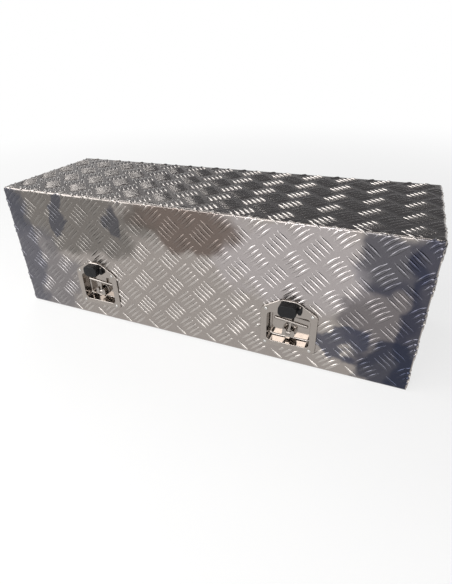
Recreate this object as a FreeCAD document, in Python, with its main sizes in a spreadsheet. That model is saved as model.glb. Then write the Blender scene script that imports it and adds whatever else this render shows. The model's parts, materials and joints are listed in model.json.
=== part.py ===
import FreeCAD, Part
import math
import os

import Sketcher

# Truck tool box in aluminium tread plate: a folded tub, a folded lid that is the
# whole top and front, a piano hinge at the back, two gas struts inside the ends and
# two recessed T-handle latches low on the front.
# Millimetres. +X right along the front, -Y out of the front, +Z up. The origin is at
# the middle of the underside.

os.makedirs("parts", exist_ok=True)
doc = FreeCAD.newDocument("truck_tool_box")
cells = doc.addObject("Spreadsheet::Sheet", "Sizes")


class Size:
    """A named size, or a sum of them, with the cell expression that gives it."""

    def __init__(self, value, text):
        self.value = float(value)
        self.text = text

    def join(self, other, sign, back=False):
        other = other if isinstance(other, Size) else Size(other, repr(float(other)))
        a, b = (other, self) if back else (self, other)
        value = {
            "+": lambda: a.value + b.value,
            "-": lambda: a.value - b.value,
            "*": lambda: a.value * b.value,
            "/": lambda: a.value / b.value,
        }[sign]()
        return Size(value, "(%s %s %s)" % (a.text, sign, b.text))

    def __add__(self, other):
        return self.join(other, "+")

    def __radd__(self, other):
        return self.join(other, "+", True)

    def __sub__(self, other):
        return self.join(other, "-")

    def __rsub__(self, other):
        return self.join(other, "-", True)

    def __mul__(self, other):
        return self.join(other, "*")

    def __rmul__(self, other):
        return self.join(other, "*", True)

    def __truediv__(self, other):
        return self.join(other, "/")

    def __neg__(self):
        return Size(-self.value, "(-1 * %s)" % self.text)


def cosine(size):
    return Size(math.cos(math.radians(size.value)), "cos(%s)" % size.text)


def sine(size):
    return Size(math.sin(math.radians(size.value)), "sin(%s)" % size.text)


row = 0


def size(name, value, note):
    """Write one driving size into the sheet."""
    global row
    row += 1
    cells.set("A%d" % row, name)
    cells.set("B%d" % row, str(value))
    cells.set("C%d" % row, note)
    cells.setAlias("B%d" % row, name)
    return Size(value, "Sizes." + name)


# The box
box_width = size("box_width", 750, "over the lid's end flanges")
box_depth = size("box_depth", 250, "front sheet to back sheet")
box_height = size("box_height", 250, "underside to top sheet")
sheet = size("sheet", 2.0, "aluminium sheet under the tread pattern")
bend = size("bend", 2.0, "inside radius of every fold")
side_gap = size("side_gap", 1.5, "lid flange to tub end")
foot_gap = size("foot_gap", 2.0, "lid's lower edge above the underside")
end_flange = size("end_flange", 30, "depth of the lid's end flanges")
rear_flange = size("rear_flange", 12, "depth of the lid's rear flange")
foot_return_gap = size("foot_return_gap", 1.5, "lid's bottom return to the tub's upstand")
seal_height = size("seal_height", 12, "space for the seal, sheet to sheet")
seal_width = size("seal_width", 12, "width of the seal")
seal_gap = size("seal_gap", 0.3, "seal to closed lid")
rim_width = size("rim_width", 15, "rim flanges that carry the seal")
rim_clear = size("rim_clear", 3.5, "tub's upstand to the latch pans above it")
front_rim_width = size("front_rim_width", 16, "flange on the upstand, front to back")
front_lip = size("front_lip", 12, "down-turned lip that the cams hook behind")
weld_gap = size("weld_gap", 0.5, "rim of an end to the rim of the tub sheet")
seal_bend = size("seal_bend", 8, "seal's outer corner at the lid's fold")
seal_round = size("seal_round", 3, "rounded edges of the seal")
seal_drop = size("seal_drop", 2, "bend of the upstand to the seal's lower run")

# The piano hinge
leaf = size("leaf", 1.2, "thickness of the hinge leaves")
knuckle = size("knuckle", 3.0, "outer radius of the knuckles")
hinge_pin_r = size("hinge_pin_r", 1.6, "radius of the hinge pin")
pin_play = size("pin_play", 0.06, "running clearance on pins and shafts")
knuckle_stand = size("knuckle_stand", 0.2, "knuckle to back sheet")
lid_leaf_width = size("lid_leaf_width", 9, "axis to the upper edge of the lid's leaf")
tub_leaf_width = size("tub_leaf_width", 22, "axis to the lower edge of the tub's leaf")
hinge_inset = size("hinge_inset", 10, "end of the box to end of the hinge")
knuckle_pitch = size("knuckle_pitch", 60, "one knuckle of each leaf")
knuckle_gap = size("knuckle_gap", 0.6, "between neighbouring knuckles")
leaf_notch = size("leaf_notch", 0.4, "leaf's edge to the other leaf's knuckles")
leaf_curl = size("leaf_curl", 0.5, "start of the roll on the leaf")

# The gas struts
strut_arm = size("strut_arm", 150, "hinge axis to each pivot pin, the same for both")
strut_rest_angle = size("strut_rest_angle", 75, "angle at the hinge between the pins, lid closed")
strut_inset = size("strut_inset", 37, "end of the box to the strut's centre line")
tube_r = size("tube_r", 9, "outer radius of the gas tube")
tube_wall = size("tube_wall", 1.4, "wall of the gas tube")
tube_length = size("tube_length", 132, "length of the gas tube")
rod_r = size("rod_r", 4, "radius of the piston rod")
rod_reach = size("rod_reach", 161, "lid pin to piston")
rod_play = size("rod_play", 0.3, "rod in its guide, and piston in its tube")
tube_crimp = size("tube_crimp", 1.5, "bevelled ends of the gas tube")
tube_plug = size("tube_plug", 4, "closed end of the gas tube")
tube_guide = size("tube_guide", 7, "rod guide in the other end")
piston = size("piston", 6, "length of the piston")
pivot_r = size("pivot_r", 4, "pivot pin through a strut's eye")
pivot_shoulder_r = size("pivot_shoulder_r", 6, "shoulder of a pivot pin on its bracket")
pivot_shoulder = size("pivot_shoulder", 3.5, "length of that shoulder")
pivot_length = size("pivot_length", 12, "bracket face to the middle of the eye")
pivot_head_r = size("pivot_head_r", 5.8, "head that keeps the eye on its pin")
pivot_head = size("pivot_head", 1.5, "thickness of that head")
eye_r = size("eye_r", 7.5, "outer radius of a strut's eye")
eye_width = size("eye_width", 11, "width of a strut's eye")
eye_neck = size("eye_neck", 14, "middle of the eye to the tube's end")
eye_shank_r = size("eye_shank_r", 5, "shank between the eye and the strut")
eye_gap = size("eye_gap", 0.4, "eye to the pivot pin's head")
rod_neck = size("rod_neck", 12, "middle of the lid's eye to the rod's end")
bracket = size("bracket", 2.5, "bracket steel")
bracket_width = size("bracket_width", 24, "width of the strut brackets")
bracket_foot = size("bracket_foot", 32, "lower pin down to its bracket's foot")
bracket_knee = size("bracket_knee", 9, "lower pin down to its bracket's step")
bracket_rise = size("bracket_rise", 12, "lower pin up to its bracket's top")
bracket_flange = size("bracket_flange", 26, "upper bracket's flange under the lid")
bracket_drop = size("bracket_drop", 8, "upper pin down to its bracket's end")
seat_play = size("seat_play", 0.04, "clearance of a pin or barrel in its fixed seat")

# The latches
latch_span = size("latch_span", 375, "between the two latches")
latch_height = size("latch_height", 58, "spindle above the underside")
gasket = size("gasket", 1.0, "rubber under the latch plate")
gasket_inset = size("gasket_inset", 1.0, "gasket's edge inside the plate's")
plate = size("plate", 2.0, "height of the pressed plate's rim")
pan_wall = size("pan_wall", 1.5, "pressed steel of the pan")
plate_width = size("plate_width", 92, "plate")
plate_low = size("plate_low", 27, "spindle down to the plate's lower edge")
plate_shoulder = size("plate_shoulder", 45, "spindle up to the shoulders")
plate_top = size("plate_top", 65, "spindle up to the top of the bulge")
plate_top_half = size("plate_top_half", 14, "half of the flat before rounding at the top")
low_corner = size("low_corner", 7, "lower corners of the latch plate")
shoulder_corner = size("shoulder_corner", 12, "shoulders of the latch plate")
top_corner = size("top_corner", 24, "top of the latch plate")
plate_roll = size("plate_roll", 1.6, "rolled outer edge of the latch plate")
pan_width = size("pan_width", 70, "opening of the pan")
pan_low = size("pan_low", 17, "spindle down to the pan's lower wall")
pan_high = size("pan_high", 38, "spindle up to the pan's upper wall")
pan_depth = size("pan_depth", 19, "plate's face to pan floor")
pan_corner = size("pan_corner", 7, "inside corner radius of the pan")
pan_roll = size("pan_roll", 1.0, "rolled edge at the pan's mouth")
pan_foot = size("pan_foot", 3, "inside radius round the pan's floor")
cutout_gap = size("cutout_gap", 1.0, "pan wall to the hole in the sheet")
spindle_r = size("spindle_r", 6, "spindle")
collar_r = size("collar_r", 10, "bearing collar behind the pan floor")
collar_length = size("collar_length", 6, "bearing collar behind the pan floor")
hub_r = size("hub_r", 12, "hub flange on the pan floor")
hub_flange = size("hub_flange", 2.5, "thickness of the hub flange")
hub_gap = size("hub_gap", 0.3, "hub flange to pan floor")
hub_round = size("hub_round", 1, "rounded edge of the hub flange")
fold_recess = size("fold_recess", 9, "plate's face to the handle's fold pin")
fold_pin_r = size("fold_pin_r", 1.8, "fold pin")
fold_pin_stand = size("fold_pin_stand", 0.5, "fold pin past each ear")
lobe_width = size("lobe_width", 6.5, "each ear of the hub")
handle_play = size("handle_play", 0.5, "handle's eye to each ear of the hub")
lobe_r = size("lobe_r", 4.2, "ears around the fold pin")
lobe_top = size("lobe_top", 8, "fold pin up to the top of the ears")
lobe_low = size("lobe_low", 5, "fold pin down to the foot of the ears")
nub_width = size("nub_width", 9, "nose below the ears")
nub_low = size("nub_low", 13, "spindle down to the nose's tip")
nub_taper = size("nub_taper", 1.5, "narrowing of the nose, each side")
handle_reach = size("handle_reach", 22, "fold pin to the cross bar")
handle_bar = size("handle_bar", 56, "length of the cross bar")
handle_bar_r = size("handle_bar_r", 2.7, "radius of the cross bar")
bar_end_flat = size("bar_end_flat", 0.5, "flat left on the rounded ends of the bar")
handle_eye_r = size("handle_eye_r", 3.8, "handle's eye around the fold pin")
handle_eye_width = size("handle_eye_width", 6, "width of the handle's eye")
handle_stem = size("handle_stem", 3.4, "width of the handle's stem")
stem_root = size("stem_root", 4.8, "stem, front to back, at the eye")
stem_tip = size("stem_tip", 4.0, "stem, front to back, at the bar")
lean_left = size("lean_left", 5, "left handle's lean in its play, degrees")
lean_right = size("lean_right", 7.5, "right handle's lean in its play, degrees")
square = size("square", 8, "square on the spindle's tail")
square_play = size("square_play", 0.05, "square in the cam")
square_short = size("square_short", 0.3, "square short of the cam's rear face")
cam = size("cam", 3, "cam plate")
cam_width = size("cam_width", 18, "cam plate")
cam_reach = size("cam_reach", 34, "spindle to the cam's tip")
cam_taper = size("cam_taper", 3, "narrowing of the cam's tip, each side")
cam_round = size("cam_round", 5, "rounded corners of the cam")
strike = size("strike", 1.5, "strike plate on the tub's lip")
strike_width = size("strike_width", 44, "strike plate")
strike_drop = size("strike_drop", 13, "height of the strike's hooked face")
strike_gap = size("strike_gap", 0.3, "cam to strike")
nut_flats = size("nut_flats", 10, "cam nut across the flats")
nut_height = size("nut_height", 5, "cam nut")
thread_r = size("thread_r", 3, "threaded tail of the spindle")
thread_stand = size("thread_stand", 2, "tail past the cam nut")

# The locks and their dust covers
barrel_r = size("barrel_r", 7, "lock barrel through the plate")
barrel_room = size("barrel_room", 0.4, "head of the barrel to the cover around it")
barrel_head = size("barrel_head", 8, "head of the barrel")
barrel_chamfer = size("barrel_chamfer", 1, "bevelled edge of the head")
barrel_length = size("barrel_length", 19, "plate's face to the barrel's rear end")
core_r = size("core_r", 4.6, "lock core")
core_stand = size("core_stand", 0.5, "core past each end of the barrel")
key_slot = size("key_slot", 1.4, "width of the keyway")
key_height = size("key_height", 6, "height of the keyway")
key_depth = size("key_depth", 6.5, "depth of the keyway")
lock_nut_flats = size("lock_nut_flats", 18, "lock nut across the flats")
lock_nut_height = size("lock_nut_height", 4, "lock nut")
tail = size("tail", 1.8, "lock tail")
tail_width = size("tail_width", 9, "lock tail")
tail_reach = size("tail_reach", 22, "lock tail")
cover_width = size("cover_width", 29, "dust cover, side to side")
cover_tall = size("cover_tall", 21, "dust cover, top to bottom")
cover_corner = size("cover_corner", 8, "corners of the dust cover's outline")
cover_edge = size("cover_edge", 1.2, "top of the cover to the top of the latch plate")
cover_wall = size("cover_wall", 1.5, "wall of the dust cover")
cover_height = size("cover_height", 11.5, "dust cover, front to back")
cover_crown = size("cover_crown", 1.9, "rounded front edge of the dust cover")
cover_ring = size("cover_ring", 3, "ring that the cover closes on")
ring_inset = size("ring_inset", 0.3, "ring's edge inside the cover's")
ring_room = size("ring_room", 0.2, "head of the barrel to the ring around it")
cover_gap = size("cover_gap", 0.3, "cover to ring")
cover_pin_r = size("cover_pin_r", 1.2, "pin of the cover")
cover_pin_out = size("cover_pin_out", 3.5, "cover's edge to its pin")
cover_pin_rise = size("cover_pin_rise", 4, "plate's face to the cover's pin")
cover_tab = size("cover_tab", 5.4, "tab between the ring's ears")
cover_ear = size("cover_ear", 3.2, "thickness of each ear")
cover_ear_r = size("cover_ear_r", 2.6, "ears around the pin")
cover_ear_gap = size("cover_ear_gap", 0.3, "tab to each ear")
cover_pin_stand = size("cover_pin_stand", 0.3, "pin past each ear")
cover_knuckle_r = size("cover_knuckle_r", 2.4, "end of the tab around the pin")
cover_knuckle_gap = size("cover_knuckle_gap", 0.6, "end of the tab to the ring")
slot_floor = size("slot_floor", 0.9, "ring left under the tab")
doc.recompute()


# ---- small helpers for sketches and features -------------------------------------

def new_body(name):
    part = doc.addObject("PartDesign::Body", name)
    part.Label = name
    return part


def sketch_on(part, role, name):
    """A sketch flat on one of the body's own origin planes."""
    sketch = part.newObject("Sketcher::SketchObject", name)
    datum = [o for o in part.Origin.OriginFeatures if o.Role == role][0]
    sketch.AttachmentSupport = [(datum, "")]
    sketch.MapMode = "FlatFace"
    return sketch


def lift(sketch, amount):
    """Move a sketch along its own normal."""
    sketch.setExpression("AttachmentOffset.Base.z", amount.text)


def hold(sketch, geo, pos, x, y):
    """Tie a point of a sketch to the sheet."""
    for kind, amount in (("DistanceX", x), ("DistanceY", y)):
        amount = amount if isinstance(amount, Size) else Size(amount, repr(float(amount)))
        made = sketch.addConstraint(
            Sketcher.Constraint(kind, -1, 1, geo, pos, amount.value))
        label = "%s_%d_%d" % (kind[-1].lower(), geo, pos)
        sketch.renameConstraint(made, label)
        sketch.setExpression("Constraints." + label, amount.text)


def number(amount):
    return amount.value if isinstance(amount, Size) else float(amount)


def polygon(sketch, points):
    first = sketch.GeometryCount
    count = len(points)
    spots = [FreeCAD.Vector(number(x), number(y), 0) for x, y in points]
    for k in range(count):
        sketch.addGeometry(Part.LineSegment(spots[k], spots[(k + 1) % count]), False)
    for k in range(count):
        sketch.addConstraint(
            Sketcher.Constraint("Coincident", first + k, 2, first + (k + 1) % count, 1))
    for k in range(count):
        hold(sketch, first + k, 1, points[k][0], points[k][1])


def rectangle(sketch, x0, y0, x1, y1):
    polygon(sketch, [(x0, y0), (x1, y0), (x1, y1), (x0, y1)])


def rounded_rectangle(sketch, x0, y0, x1, y1, radius):
    """Four lines and four quarter arcs."""
    first = sketch.GeometryCount
    low_x, high_x, low_y, high_y = x0 + radius, x1 - radius, y0 + radius, y1 - radius
    lines = [((low_x, y0), (high_x, y0)), ((x1, low_y), (x1, high_y)),
             ((high_x, y1), (low_x, y1)), ((x0, high_y), (x0, low_y))]
    corners = [((high_x, low_y), -90), ((high_x, high_y), 0),
               ((low_x, high_y), 90), ((low_x, low_y), 180)]
    for start, end in lines:
        sketch.addGeometry(Part.LineSegment(
            FreeCAD.Vector(number(start[0]), number(start[1]), 0),
            FreeCAD.Vector(number(end[0]), number(end[1]), 0)), False)
    for (cx, cy), degrees in corners:
        turn = math.radians(degrees)
        sketch.addGeometry(Part.ArcOfCircle(
            Part.Circle(FreeCAD.Vector(number(cx), number(cy), 0),
                        FreeCAD.Vector(0, 0, 1), number(radius)),
            turn, turn + math.pi / 2), False)
    for k in range(4):
        sketch.addConstraint(Sketcher.Constraint("Coincident", first + k, 2, first + 4 + k, 1))
        sketch.addConstraint(
            Sketcher.Constraint("Coincident", first + 4 + k, 2, first + (k + 1) % 4, 1))
        made = sketch.addConstraint(
            Sketcher.Constraint("Radius", first + 4 + k, number(radius)))
        label = "radius_%d" % (first + 4 + k)
        sketch.renameConstraint(made, label)
        sketch.setExpression("Constraints." + label, radius.text)
    for k, (start, end) in enumerate(lines):
        hold(sketch, first + k, 1, start[0], start[1])
        hold(sketch, first + k, 2, end[0], end[1])


def circle(sketch, x, y, radius):
    geo = sketch.addGeometry(
        Part.Circle(FreeCAD.Vector(number(x), number(y), 0), FreeCAD.Vector(0, 0, 1),
                    radius.value), False)
    hold(sketch, geo, 3, x, y)
    made = sketch.addConstraint(Sketcher.Constraint("Radius", geo, radius.value))
    label = "radius_%d" % geo
    sketch.renameConstraint(made, label)
    sketch.setExpression("Constraints." + label, radius.text)


def hexagon(sketch, x, y, flats):
    """A nut's outline with flats facing up and down."""
    apothem = flats / 2
    point = flats / math.sqrt(3)
    polygon(sketch, [(x + point, y + 0), (x + point / 2, y + apothem),
                     (x - point / 2, y + apothem), (x - point, y + 0),
                     (x - point / 2, y - apothem), (x + point / 2, y - apothem)])


def feature(part, kind, name, sketch, length, symmetric=False, backwards=False):
    made = part.newObject("PartDesign::" + kind, name)
    made.Profile = sketch
    if symmetric:
        made.SideType = "Symmetric"
    made.Reversed = backwards
    made.setExpression("Length", length.text)
    doc.recompute()
    return made


def pad(part, name, sketch, length, symmetric=False, backwards=False):
    return feature(part, "Pad", name, sketch, length, symmetric, backwards)


def pocket(part, name, sketch, length, symmetric=False, backwards=False):
    before = part.Shape.Volume
    made = feature(part, "Pocket", name, sketch, length, symmetric, backwards)
    if part.Shape.Volume > before - 1e-6:
        raise SystemExit("%s removes nothing" % name)
    return made


def edges_at(shape, axis, spots):
    """Names of the straight edges that run along an axis through given spots.

    A spot gives the two other coordinates, in x, y, z order."""
    others = [k for k in range(3) if k != axis]
    wanted = [(number(a), number(b)) for a, b in spots]
    names = []
    for k, edge in enumerate(shape.Edges):
        ends = [edge.Vertexes[0].Point, edge.Vertexes[-1].Point]
        if abs(edge.Length - (ends[0] - ends[1]).Length) > 1e-6:
            continue
        if any(abs(ends[0][o] - ends[1][o]) > 1e-4 for o in others):
            continue
        at = (ends[0][others[0]], ends[0][others[1]])
        if any(math.hypot(at[0] - a, at[1] - b) < 1e-3 for a, b in wanted):
            names.append("Edge%d" % (k + 1))
    return names


def round_edges(part, name, radius, axis, spots, extra=()):
    """Fillet the edges found along an axis; extra holds further (axis, spots)."""
    base = part.Tip
    names = edges_at(base.Shape, axis, spots)
    for more_axis, more_spots in extra:
        names += edges_at(base.Shape, more_axis, more_spots)
    if not names:
        raise SystemExit("%s finds no edge" % name)
    made = part.newObject("PartDesign::Fillet", name)
    made.Base = (base, names)
    made.setExpression("Radius", radius.text)
    doc.recompute()
    return made


def is_circle(edge, radius):
    """Whether an edge is a whole circle of this radius."""
    return len(edge.Vertexes) == 1 and abs(edge.Length - 2 * math.pi * number(radius)) < 1e-6


def round_arc_edges(part, name, radius, test):
    """Fillet every edge that passes a test."""
    base = part.Tip
    names = ["Edge%d" % (k + 1) for k, e in enumerate(base.Shape.Edges) if test(e)]
    if not names:
        raise SystemExit("%s finds no edge" % name)
    made = part.newObject("PartDesign::Fillet", name)
    made.Base = (base, names)
    made.setExpression("Radius", radius.text)
    doc.recompute()
    return made


def place(thing, x, y, z, axis=None, angle=None):
    if axis is not None:
        thing.Placement = FreeCAD.Placement(
            FreeCAD.Vector(0, 0, 0), FreeCAD.Rotation(axis, angle.value))
        thing.setExpression("Placement.Rotation.Angle", angle.text)
    for letter, amount in (("x", x), ("y", y), ("z", z)):
        if isinstance(amount, Size):
            thing.setExpression("Placement.Base." + letter, amount.text)


def primitive(kind, name, **sizes):
    made = doc.addObject("Part::" + kind, name)
    for prop, amount in sizes.items():
        made.setExpression(prop, amount.text)
    return made


def boolean(kind, name, base, tool):
    made = doc.addObject("Part::" + kind, name)
    made.Base = base
    made.Tool = tool
    return made


sub_parts = []


def keep(thing, name):
    thing.Label = name
    sub_parts.append((thing, name))
    return thing


# ---- lines that several pieces share ---------------------------------------------

half_width = box_width / 2
half_depth = box_depth / 2
front_rim = latch_height - pan_low - pan_wall - rim_clear   # height of the upstand
lobe_gap = handle_eye_width + handle_play * 2
half_cover = cover_width / 2
cover_half = cover_tall / 2
lock_rise = plate_top - cover_edge - cover_half             # spindle up to the lock
barrel_head_r = cover_half - cover_wall - barrel_room
front_face = -half_depth                       # outer face of the lid's front
front_inner = front_face + sheet
top_inner = box_height - sheet
tub_half = half_width - sheet - side_gap       # outer face of the tub's ends
tub_half_in = tub_half - sheet
rim_top = top_inner - seal_height              # rim under the seal
upstand = front_inner + seal_height            # front face of the upstand
outer_bend = bend + sheet
hinge_y = half_depth + knuckle + knuckle_stand
hinge_z = rim_top + (top_inner + sheet - rear_flange - rim_top) / 2

# ---- tub: back, bottom and front upstand folded from one sheet --------------------

lip_back = upstand + front_rim_width
tub = new_body("tub_sheet")
profile = sketch_on(tub, "YZ_Plane", "tub_profile")
polygon(profile, [
    (lip_back, front_rim - front_lip), (lip_back, front_rim), (upstand, front_rim),
    (upstand, 0), (half_depth, 0), (half_depth, rim_top),
    (half_depth - sheet - rim_width, rim_top),
    (half_depth - sheet - rim_width, rim_top - sheet),
    (half_depth - sheet, rim_top - sheet), (half_depth - sheet, sheet),
    (upstand + sheet, sheet), (upstand + sheet, front_rim - sheet),
    (lip_back - sheet, front_rim - sheet), (lip_back - sheet, front_rim - front_lip)])
pad(tub, "tub_fold", profile, tub_half_in * 2, symmetric=True)
round_edges(tub, "tub_outer_bends", outer_bend, 0, [
    (lip_back, front_rim), (upstand, front_rim), (upstand, 0), (half_depth, 0),
    (half_depth, rim_top)])
round_edges(tub, "tub_inner_bends", bend, 0, [
    (lip_back - sheet, front_rim - sheet), (upstand + sheet, front_rim - sheet),
    (upstand + sheet, sheet), (half_depth - sheet, sheet),
    (half_depth - sheet, rim_top - sheet)])
keep(tub, "tub_sheet")

# ---- tub ends: flat panels with a rim folded inwards along the top and the front ---

for side, sign in (("left", -1), ("right", 1)):
    end = new_body("end_panel_" + side)
    outline = sketch_on(end, "YZ_Plane", "end_outline_" + side)
    # the corners that meet the tub's bends are clipped, level with the bends
    clip = outer_bend * (2 - math.sqrt(2))
    polygon(outline, [
        (upstand, clip), (upstand + clip, 0), (half_depth - clip, 0), (half_depth, clip),
        (half_depth, rim_top - clip), (half_depth - clip, rim_top), (upstand, rim_top)])
    outer = tub_half if sign > 0 else -tub_half
    lift(outline, outer)
    pad(end, "end_block_" + side, outline, sheet + rim_width, backwards=sign > 0)
    round_edges(end, "end_outer_bends_" + side, outer_bend, 1, [(outer, rim_top)],
                extra=[(2, [(outer, upstand)])])
    inside = sketch_on(end, "YZ_Plane", "end_inside_" + side)
    back = half_depth - sheet - rim_width - weld_gap
    polygon(inside, [
        (upstand + sheet, rim_top - sheet), (back, rim_top - sheet),
        (back, rim_top + 5), (half_depth + 5, rim_top + 5), (half_depth + 5, -5.0),
        (upstand - 5, -5.0), (upstand - 5, front_rim + weld_gap),
        (upstand + sheet, front_rim + weld_gap)])
    inner = tub_half_in if sign > 0 else -tub_half_in
    lift(inside, inner)
    pocket(end, "end_hollow_" + side, inside, rim_width + 1, backwards=sign < 0)
    round_edges(end, "end_inner_bends_" + side, bend, 1, [(inner, rim_top - sheet)],
                extra=[(2, [(inner, upstand + sheet)])])
    keep(end, "end_panel_" + side)

# ---- lid: top and front in one sheet, with flanges folded round its edges ----------

lid = new_body("lid_sheet")
outline = sketch_on(lid, "YZ_Plane", "lid_outline")
polygon(outline, [
    (front_face, foot_gap), (front_face, box_height), (half_depth, box_height),
    (half_depth, box_height - end_flange), (front_face + end_flange, box_height - end_flange),
    (front_face + end_flange, foot_gap)])
pad(lid, "lid_block", outline, box_width, symmetric=True)
round_edges(lid, "lid_outer_bends", outer_bend, 0, [
    (front_face, box_height), (half_depth, box_height), (front_face, foot_gap)],
    extra=[(1, [(-half_width, box_height), (half_width, box_height)]),
           (2, [(-half_width, front_face), (half_width, front_face)])])
hollow = sketch_on(lid, "YZ_Plane", "lid_hollow_outline")
rear_low = box_height - rear_flange
polygon(hollow, [
    (front_inner, foot_gap + sheet), (front_inner, top_inner),
    (half_depth - sheet, top_inner), (half_depth - sheet, rear_low),
    (half_depth + 5, rear_low), (half_depth + 5, box_height - end_flange - 5),
    (front_face + end_flange + 5, box_height - end_flange - 5),
    (front_face + end_flange + 5, foot_gap - 5),
    (upstand - foot_return_gap, foot_gap - 5),
    (upstand - foot_return_gap, foot_gap + sheet)])
pocket(lid, "lid_hollow", hollow, box_width - sheet * 2, symmetric=True)
side_in = half_width - sheet
round_edges(lid, "lid_inner_bends", bend, 0, [
    (front_inner, top_inner), (half_depth - sheet, top_inner),
    (front_inner, foot_gap + sheet)],
    extra=[(1, [(-side_in, top_inner), (side_in, top_inner)]),
           (2, [(-side_in, front_inner), (side_in, front_inner)])])

# holes through the front for the two pans and their locks
pan_half = pan_width / 2 + pan_wall + cutout_gap
for side, sign in (("left", -1), ("right", 1)):
    middle = latch_span * sign / 2
    hole = sketch_on(lid, "XZ_Plane", "latch_hole_outline_" + side)
    rounded_rectangle(
        hole, middle - pan_half, latch_height - pan_low - pan_wall - cutout_gap,
        middle + pan_half, latch_height + pan_high + pan_wall + cutout_gap,
        pan_corner + pan_wall + cutout_gap)
    lift(hole, -front_face + 1)
    pocket(lid, "latch_hole_" + side, hole, sheet + 2)
    bore = sketch_on(lid, "XZ_Plane", "lock_hole_outline_" + side)
    circle(bore, middle, latch_height + lock_rise, barrel_r + cutout_gap)
    lift(bore, -front_face + 1)
    pocket(lid, "lock_hole_" + side, bore, sheet + 2)
keep(lid, "lid_sheet")

# ---- seal: one rubber strip round the rim, top and front --------------------------

seal = new_body("seal_strip")
outline = sketch_on(seal, "YZ_Plane", "seal_outline")
seal_front = front_inner + seal_gap
seal_top = top_inner - seal_gap
seal_low = front_rim - outer_bend - seal_width - seal_drop
seal_back = half_depth - outer_bend
polygon(outline, [
    (seal_front, seal_low), (seal_front, seal_top), (seal_back, seal_top),
    (seal_back, rim_top), (upstand, rim_top), (upstand, seal_low)])
seal_half = tub_half - outer_bend
pad(seal, "seal_block", outline, seal_half * 2, symmetric=True)
round_edges(seal, "seal_corner", seal_bend, 0, [(seal_front, seal_top)])
middle_cut = sketch_on(seal, "YZ_Plane", "seal_middle_outline")
polygon(middle_cut, [
    (seal_front - 5, seal_low + seal_width), (seal_front - 5, seal_top + 5),
    (seal_back - seal_width, seal_top + 5), (seal_back - seal_width, rim_top - 5),
    (upstand + 5, rim_top - 5), (upstand + 5, seal_low + seal_width)])
pocket(seal, "seal_middle", middle_cut, seal_half * 2 - seal_width * 2, symmetric=True)
round_edges(seal, "seal_edges", seal_round, 0, [
    (seal_front, seal_low), (seal_front, seal_low + seal_width),
    (seal_back, seal_top), (seal_back - seal_width, seal_top)])
keep(seal, "seal_strip")

# ---- strikes: steel caps on the tub's front lip, in the path of the cams ----------

for side, sign in (("left", -1), ("right", 1)):
    piece = new_body("strike_" + side)
    angle_iron = sketch_on(piece, "YZ_Plane", "strike_outline_" + side)
    polygon(angle_iron, [
        (upstand + outer_bend, front_rim), (lip_back - outer_bend, front_rim),
        (lip_back - outer_bend, front_rim + strike), (upstand + outer_bend, front_rim + strike)])
    pad(piece, "strike_top_" + side, angle_iron, strike_width, symmetric=True)
    hook = sketch_on(piece, "YZ_Plane", "strike_hook_" + side)
    polygon(hook, [
        (lip_back - outer_bend - 1, front_rim), (lip_back - outer_bend - 1, front_rim + strike),
        (lip_back + strike, front_rim + strike), (lip_back + strike, front_rim + strike - strike_drop),
        (lip_back, front_rim + strike - strike_drop), (lip_back, front_rim)])
    pad(piece, "strike_face_" + side, hook, strike_width, symmetric=True)
    round_edges(piece, "strike_bend_" + side, strike + bend, 0,
                [(lip_back + strike, front_rim + strike)])
    place(piece, latch_span * sign / 2, None, None)
    keep(piece, "strike_" + side)

# ---- piano hinge ------------------------------------------------------------------

hinge_half = half_width - hinge_inset
knuckle_length = knuckle_pitch / 2 - knuckle_gap
notch = knuckle + leaf_notch


def hinge_leaf(name, upper):
    """One leaf: a strip against the back with knuckles rolled round the pin."""
    strip = new_body(name)
    sign = 1 if upper else -1
    far = hinge_z + (lid_leaf_width if upper else -tub_leaf_width)
    face = sketch_on(strip, "XZ_Plane", name + "_outline")
    near = hinge_z + sign * notch
    rectangle(face, -hinge_half, near, hinge_half, far)
    lift(face, -half_depth)
    pad(strip, name + "_plate", face, leaf, backwards=True)
    # knuckles stand in turn: the lower leaf starts half a pitch further on
    start = -hinge_half + (0 if upper else 1) * knuckle_pitch / 2
    rolled = sketch_on(strip, "YZ_Plane", name + "_knuckle_outline")
    polygon(rolled, [
        (half_depth, near + sign * leaf_curl), (half_depth, hinge_z), (hinge_y, hinge_z),
        (hinge_y, hinge_z + sign * (knuckle - leaf)), (half_depth + leaf, near + sign * leaf_curl)])
    lift(rolled, start)
    pad(strip, name + "_web", rolled, knuckle_length)
    ring = sketch_on(strip, "YZ_Plane", name + "_ring_outline")
    circle(ring, hinge_y, hinge_z, knuckle)
    lift(ring, start)
    ring_pad = pad(strip, name + "_knuckle", ring, knuckle_length)
    bore = sketch_on(strip, "YZ_Plane", name + "_bore_outline")
    circle(bore, hinge_y, hinge_z, hinge_pin_r + pin_play)
    lift(bore, start - 1)
    bored = pocket(strip, name + "_bore", bore, knuckle_length + 2, backwards=True)
    pattern = strip.newObject("PartDesign::LinearPattern", name + "_row")
    pattern.Originals = [strip.getObject(name + "_web"), ring_pad, bored]
    pattern.Direction = (face, ["H_Axis"])
    count = int((2 * hinge_half.value - (start.value + hinge_half.value)
                 - knuckle_length.value) // knuckle_pitch.value) + 1
    pattern.Mode = "Spacing"
    pattern.setExpression("Offset", knuckle_pitch.text)
    pattern.Occurrences = count
    strip.Tip = pattern
    doc.recompute()
    return keep(strip, name)


hinge_leaf("hinge_leaf_lid", True)
hinge_leaf("hinge_leaf_tub", False)
pin = primitive("Cylinder", "hinge_pin", Radius=hinge_pin_r, Height=hinge_half * 2)
pin.Placement.Rotation = FreeCAD.Rotation(FreeCAD.Vector(0, 1, 0), 90)
place(pin, -hinge_half, hinge_y, hinge_z)
keep(pin, "hinge_pin")

# ---- gas struts -------------------------------------------------------------------
# Both pivot pins stand the same distance from the hinge axis, so the strut turns by
# half the lid's angle at each end while its two halves stay in line.

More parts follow.
